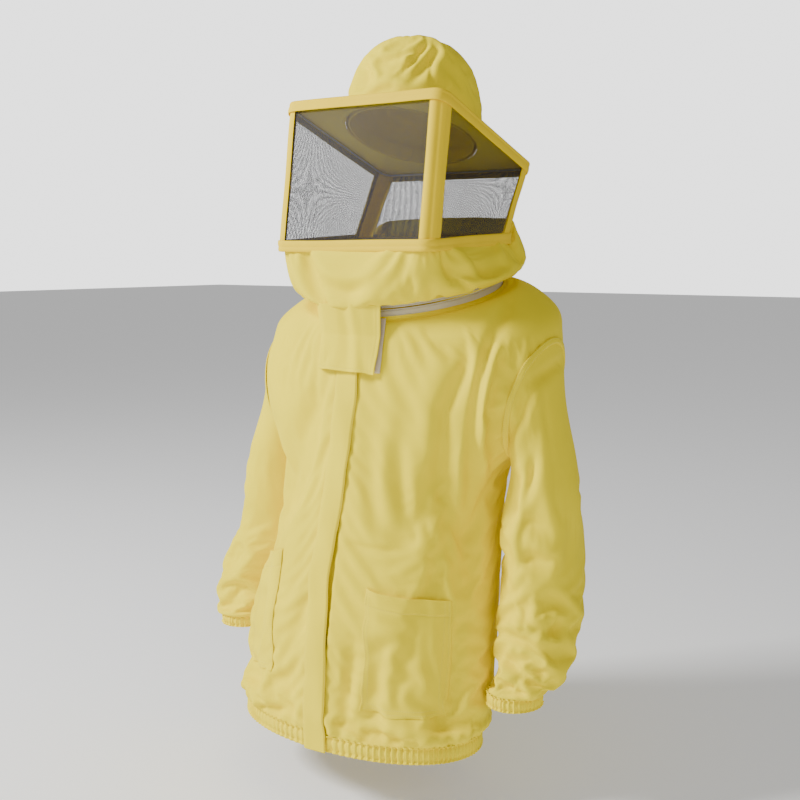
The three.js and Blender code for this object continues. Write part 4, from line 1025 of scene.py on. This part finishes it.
def tape_band(name, edges, profile, seed, nodes):
    points, axes, up = frame_line(edges, 0)
    rng = np.random.default_rng(seed)
    n = len(points)
    wave = np.zeros(n)
    for k in range(2, 9):
        wave += rng.normal() * np.sin(np.linspace(0, 2 * math.pi * k, n) + rng.uniform(0, 6)) / k
    stations = [(p + up * wave[i] * 0.5 + axes[i] * wave[(i * 3) % n] * 0.25, axes[i], up)
                for i, p in enumerate(points)]
    obj = sweep(name, stations, profile, BINDING)
    declare(obj, "hood", "binding", *nodes)
    return obj


brim_tape = tape_band("brim_binding_tape", BRIM, [
    (-10, 3.6), (-9.6, 4.4), (-5, 4.5), (-1.4, 4.7), (0.2, 4.2), (0.9, 2.2), (0.6, 0.6), (0.2, -0.4),
    (0.5, -2), (0.9, -5), (0.8, -8.5), (0.4, -10.6), (0.1, -11.6), (-0.4, -12.4), (-1.2, -12.2),
    (-1.4, -6), (-1.4, 1.8), (-3, 2.8), (-9.8, 2.9)], 31, ["brim_binding"])
lower_tape_band = tape_band("lower_binding_tape", HOOP, [
    (-1.3, -6.2), (-0.3, -6.6), (0.5, -6), (0.9, -3), (0.6, -0.6), (0.2, 0.4), (0.7, 2), (1.0, 5),
    (0.6, 8.4), (0, 9.9), (-1.0, 10.2), (-1.5, 9), (-1.5, 0), (-1.5, -5)], 32, ["lower_binding"])


# ---- brim, nets and corner tapes
def brim_cloth():
    points, axes, up = frame_line(BRIM, 2.0, 20, 8)
    middle = points.mean(0)
    n = len(points)
    along = np.cross(up, [1, 0, 0])
    rows = []
    angles = [math.atan2((p - middle) @ along, (p - middle)[0]) for p in points]
    inner = np.array([middle + 101.8 * (np.array([math.cos(a), 0, 0]) + along * math.sin(a))
                      for a in angles])
    rng = np.random.default_rng(41)
    for t in np.linspace(0, 1, 14):
        bow = math.sin(math.pi * t) * 1.2
        rows.append(points * (1 - t) + inner * t + up * (1.9 + bow + 0.25 * rng.normal()))
    top = np.array(rows)
    N = np.broadcast_to(up, top.shape)
    P = np.concatenate([top, (top - N * 1.6)[::-1]])
    rows_total = len(P)
    faces = grid_faces(rows_total, n, True)
    last = (rows_total - 1) * n
    faces += [[last + j, last + (j + 1) % n, (j + 1) % n, j] for j in range(n)]
    obj = add_mesh("brim_cloth", P.reshape(-1, 3), faces, COTTON, P.reshape(-1, 3)[:, :2] * 0.001)
    clear_loose(obj)
    return obj


brim = brim_cloth()
declare(brim, "hood", "cotton", "brim")

WALL_TOP, WALL_TOP_AXES, BRIM_UP = frame_line(BRIM, 2.2, 24, 8)
WALL_LOW, WALL_LOW_AXES, HOOP_UP = frame_line(((-155, 61), (69, 74)), 2.2, 24, 8)
WALL_TOP = WALL_TOP - BRIM_UP * 4.2
WALL_LOW = WALL_LOW + HOOP_UP * 4.2
WALL_COUNT = len(WALL_TOP)


def wall_patch(start, stop, depth, rows=24, bow=0.0):
    """Part of the hood's wall between two columns of its outlines; depth is inward."""
    index = np.arange(start, stop + 1) % WALL_COUNT
    t = np.linspace(0, 1, rows)[:, None, None]
    top, low = WALL_TOP[index][None], WALL_LOW[index][None]
    axes = WALL_TOP_AXES[index][None] * (1 - t) + WALL_LOW_AXES[index][None] * t
    s = np.linspace(0, 1, len(index))[None, :, None]
    swell = bow * np.sin(np.pi * t) * np.sin(np.pi * s)
    return top * (1 - t) + low * t + axes * (swell - depth), axes + 0 * t


ARC = 8
EDGE = 24
SIDES = ["back", "right", "front", "left"]
CORNERS = ["back_left", "back_right", "front_right", "front_left"]
BOWS = {"front": 3.0, "left": 3.5, "right": 3.0, "back": 2.0}
for k in range(4):
    first = k * (ARC + EDGE)
    corner_end = first + ARC
    P, A = wall_patch(first - 1, corner_end + 1, -0.4, 60)
    before, after = (0.9, 0.1) if CORNERS[k] in ("back_left", "front_right") else (0.1, 0.9)
    P[:, 0] = P[:, 1] + (P[:, 0] - P[:, 1]) * before
    P[:, -1] = P[:, -2] + (P[:, -1] - P[:, -2]) * after
    width = P.shape[1]
    across = np.linspace(-1, 1, width)
    fold = 0.9 * np.exp(-((across - 0.5) / 0.18) ** 2) + 0.9 * np.exp(-((across + 0.5) / 0.18) ** 2)
    fold -= 0.8 * np.exp(-(across / 0.08) ** 2)
    ripple = 0.35 * np.sin(np.linspace(0, 9, 60))[:, None]
    P = P + A * (fold[None] + ripple)[..., None]
    P = resample(P, 120, width * 3, False)
    axes = unit(resample(A, 120, width * 3, False))
    post = thick_grid(f"corner_tape_{CORNERS[k]}", P, axes, 1.4, BINDING)
    declare(post, "hood", "binding", f"corner_strip_{CORNERS[k]}")
    P, A = wall_patch(corner_end, corner_end + EDGE, 1.6, 24, BOWS[SIDES[k]])
    net = cloth_grid(f"veil_net_{SIDES[k]}", P, False, NET)
    declare(net, "hood", "veil_mesh", f"mesh_{SIDES[k]}")


# ---- crown
CROWN_PROFILE = np.array([
    [101.4, 0], [103, 12], [103.5, 30], [101.5, 52], [97.5, 72], [91, 92], [81, 111], [66, 127],
    [46, 139], [25, 146.5], [9, 149], [1.0, 149.5]], float)


def crown_shape():
    middle, along, up, _ = frame_axes(BRIM)
    rows, columns = ((40, 132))
    t = np.linspace(0, len(CROWN_PROFILE) - 1.0, rows)
    profile = smooth_rows(CROWN_PROFILE, t)
    angle = around(columns)
    circle = np.cos(angle)[None, :, None] * np.array([1, 0, 0]) + np.sin(angle)[None, :, None] * along
    P0 = middle + circle * profile[:, 0][:, None, None] + up * (profile[:, 1][:, None, None] + 1.5)
    P0 = P0 + np.array([0, -0.12, 0]) * profile[:, 1][:, None, None]
    N0 = grid_normals(P0)
    lines = [
        (9, 4.8, [(39, 537), (18, 516), (-6, 486)]),
        (-4, 6, [(45, 531), (27, 507), (6, 477)]),
        (8, 4.5, [(37.5, 535.5), (3, 523.5), (-30, 513)]),
        (-3, 6, [(27, 525), (-3, 510), (-33, 498)]),
        (4, 3.3, [(45, 525), (48, 501), (49.5, 468)]),
        (-3, 6, [(69, 516), (78, 492), (84, 468)]),
        (4, 6, [(-51, 507), (-54, 486), (-57, 465)]),
    ]
    lift = creases(P0, N0, lines)
    height = profile[:, 1][:, None] + 0 * angle[None]
    for seam in np.radians([20, 110, 200, 285, 330]):
        d = np.angle(np.exp(1j * (angle - seam)))
        lift = lift - 1.6 * np.exp(-(d / 0.05) ** 2)[None] * ramp(height, 5, 30)
    pin = np.zeros(P0.shape[:2])
    pin[:2] = 1
    pin[-1] = 0.4
    grow = 1 + 0.012 * ramp(height, 8, 60)
    inward = 1 + 12 * ramp(height, 6, 50)
    outward = 1.5 + 3.0 * ramp(height, 6, 50)
    return settle(P0, grow, grow + 0.01, pin, inward, outward, 22, 51, lift=lift,
                  sag=60, bend=0.2, ripple=0.8)


crown_grid = crown_shape()
crown_fine = resample(crown_grid, crown_grid.shape[0] * 2 - 1, crown_grid.shape[1] * 2, True)
crown = cloth_grid("crown_cloth", crown_fine, True, COTTON)
declare(crown, "hood", "cotton", "crown_gore_back_left", "crown_gore_back_right", "crown_gore_front_right",
      "crown_gore_front_left")


# ---- neck skirt
def skirt_shape():
    columns = 150
    angle = around(columns)
    c, s = np.cos(angle), np.sin(angle)

    def ring(radius, height):
        return (c[:, None] * np.array([1, 0, 0]) + s[:, None] * RING_BACK) * radius + RING_UP * height

    def oval(cx, cy, cz, a, b, tilt, square):
        u, v = superellipse(angle, square)
        tilt = math.radians(tilt)
        return np.stack([cx + a * u, cy + b * v * math.cos(tilt), cz + b * v * math.sin(tilt)], -1)

    slope = math.degrees(math.atan2(13, 230))
    keys = np.array([
        ring(138.8, 8.8), ring(139.2, 13), ring(143, 17), ring(153, 19.5),
        oval(0, -6, 20, 164, 158, 11.5, 2.1), oval(2, -8, 33, 170, 160, 10, 2.3),
        oval(0, -16, 46, 164, 148, 7, 2.7), oval(0, -30, 56, 152, 130, 5, 4),
        oval(0, -40, 61.5, 141.5, 114, slope, 7), oval(0, -40, 66.5, 140.6, 113.2, slope, 8)])
    behind = ramp(s, 0.35, 0.85)[:, None]
    for row, rise, push in ((5, 12, 4), (6, 40, -3), (7, 42, 7), (8, 8, 2)):
        keys[row] += behind * np.array([0, push, rise])
    rows = 40
    position = np.linspace(0, len(keys) - 1.0, rows)
    P0 = np.stack([smooth_rows(keys[:, j], position) for j in range(columns)], 1)
    N0 = grid_normals(P0)
    v = np.linspace(0, 1, rows)[:, None]
    lines = [
        (8, 9, [(-111, 186), (-82.5, 174), (-57, 181.5)]),
        (-6, 10.5, [(-117, 207), (-82.5, 195), (-30, 198)]),
        (7, 9, [(-150, 222), (-132, 198), (-117, 168)]),
        (9, 9, [(60, 207), (93, 195), (123, 201)]),
        (8, 9, [(105, 216), (132, 207), (157.5, 213)]),
        (-7, 10.5, [(90, 213), (120, 216), (150, 225)]),
    ]
    lift = creases(P0, N0, lines)
    rng = np.random.default_rng(61)
    for _ in range(14):
        a0, k = rng.uniform(0, 6.28), rng.uniform(-0.5, 0.5)
        d = np.angle(np.exp(1j * (angle[None] - a0 - k * v)))
        fade = np.sin(np.pi * v) * ramp(s[None], -0.3, 0.5)
        lift = lift - rng.uniform(-3, 4) * np.exp(-(d / 0.07) ** 2) * fade
    pin = np.zeros(P0.shape[:2])
    pin[:3] = 1
    pin[-2:] = 1
    body = ramp(v, 0.15, 0.4) * (1 - ramp(v, 0.85, 1))
    inward = 0.5 + 11 * body
    outward = 0.6 + 8 * body
    return settle(P0, 1 + 0.05 * body, 1 + 0.08 * body, pin, inward, outward,
                  24, 71, lift=lift, sag=260, bend=0.12)


skirt_grid = skirt_shape()
skirt_fine = resample(skirt_grid, skirt_grid.shape[0] * 2 - 1, skirt_grid.shape[1] * 2, True)
skirt = cloth_grid("neck_skirt_cloth", skirt_fine, True, COTTON)
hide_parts("neck_skirt")
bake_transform(skirt)


# ---- carried CAD nodes
FINISH = {
    "front_slider": METAL, "front_pull": METAL, "neck_slider": METAL, "neck_pull": METAL,
    "brim_wire": WIRE, "lower_wire": WIRE, "hem_elastic": ELASTIC, "left_cuff_elastic": ELASTIC,
    "right_cuff_elastic": ELASTIC, "sweatband": COTTON, "front_zip_tape_left": TAPE,
    "front_zip_tape_right": TAPE, "front_zip_coil_left": TAPE, "front_zip_coil_right": TAPE,
}
for name, material in FINISH.items():
    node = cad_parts[name]
    node.data.materials.clear()
    node.data.materials.append(material)


# ---- scene update
bpy.context.view_layer.update()


# ---- camera, floor and light
scene = bpy.context.scene
camera_data = bpy.data.cameras.new("camera")
camera = bpy.data.objects.new("camera", camera_data)
scene.collection.objects.link(camera)
camera_data.sensor_width = SENSOR
camera_data.lens = LENS
camera_data.clip_start = 0.05
camera_data.clip_end = 50
rotation = Matrix((RIGHT, UPWARD, -FORWARD)).transposed()
camera.matrix_world = Matrix.Translation(Vector(CAMERA_PLACE * 0.001)) @ rotation.to_4x4()
scene.camera = camera

bpy.ops.mesh.primitive_plane_add(size=40, location=(0, 0, -0.76))
floor = bpy.context.object
floor.name = "floor"
floor_material = bpy.data.materials.new("floor")
floor_material.use_nodes = True
floor_sockets = floor_material.node_tree.nodes["Principled BSDF"].inputs
for name, value in (("Base Color", (0.9, 0.9, 0.9, 1)), ("Roughness", 0.9),
                    ("Emission Color", (1, 1, 1, 1)), ("Emission Strength", 0.2)):
    floor_sockets[name].default_value = value
floor.data.materials.append(floor_material)

world = bpy.data.worlds.new("studio")
scene.world = world
world.use_nodes = True
sky = world.node_tree
sky.nodes["Background"].inputs["Color"].default_value = (1, 1, 1, 1)
rays = sky.nodes.new("ShaderNodeLightPath")
power = sky.nodes.new("ShaderNodeMapRange")
power.inputs["To Min"].default_value = 0.36
power.inputs["To Max"].default_value = 2.4
sky.links.new(rays.outputs["Is Camera Ray"], power.inputs["Value"])
sky.links.new(power.outputs["Result"], sky.nodes["Background"].inputs["Strength"])


def area_light(name, spot, target, size, power):
    data = bpy.data.lights.new(name, "AREA")
    data.shape = "RECTANGLE"
    data.size, data.size_y = size
    data.energy = power
    light = bpy.data.objects.new(name, data)
    scene.collection.objects.link(light)
    light.location = spot
    light.rotation_euler = (Vector(target) - Vector(spot)).to_track_quat("-Z", "Y").to_euler()
    return light


lights = [
    area_light("key", (-1.9, -2.1, 1.7), (0, 0, -0.2), (0.7, 0.9), 170),
    area_light("fill", (1.9, -2.2, 0.9), (0, 0, -0.3), (1.6, 1.6), 12),
]
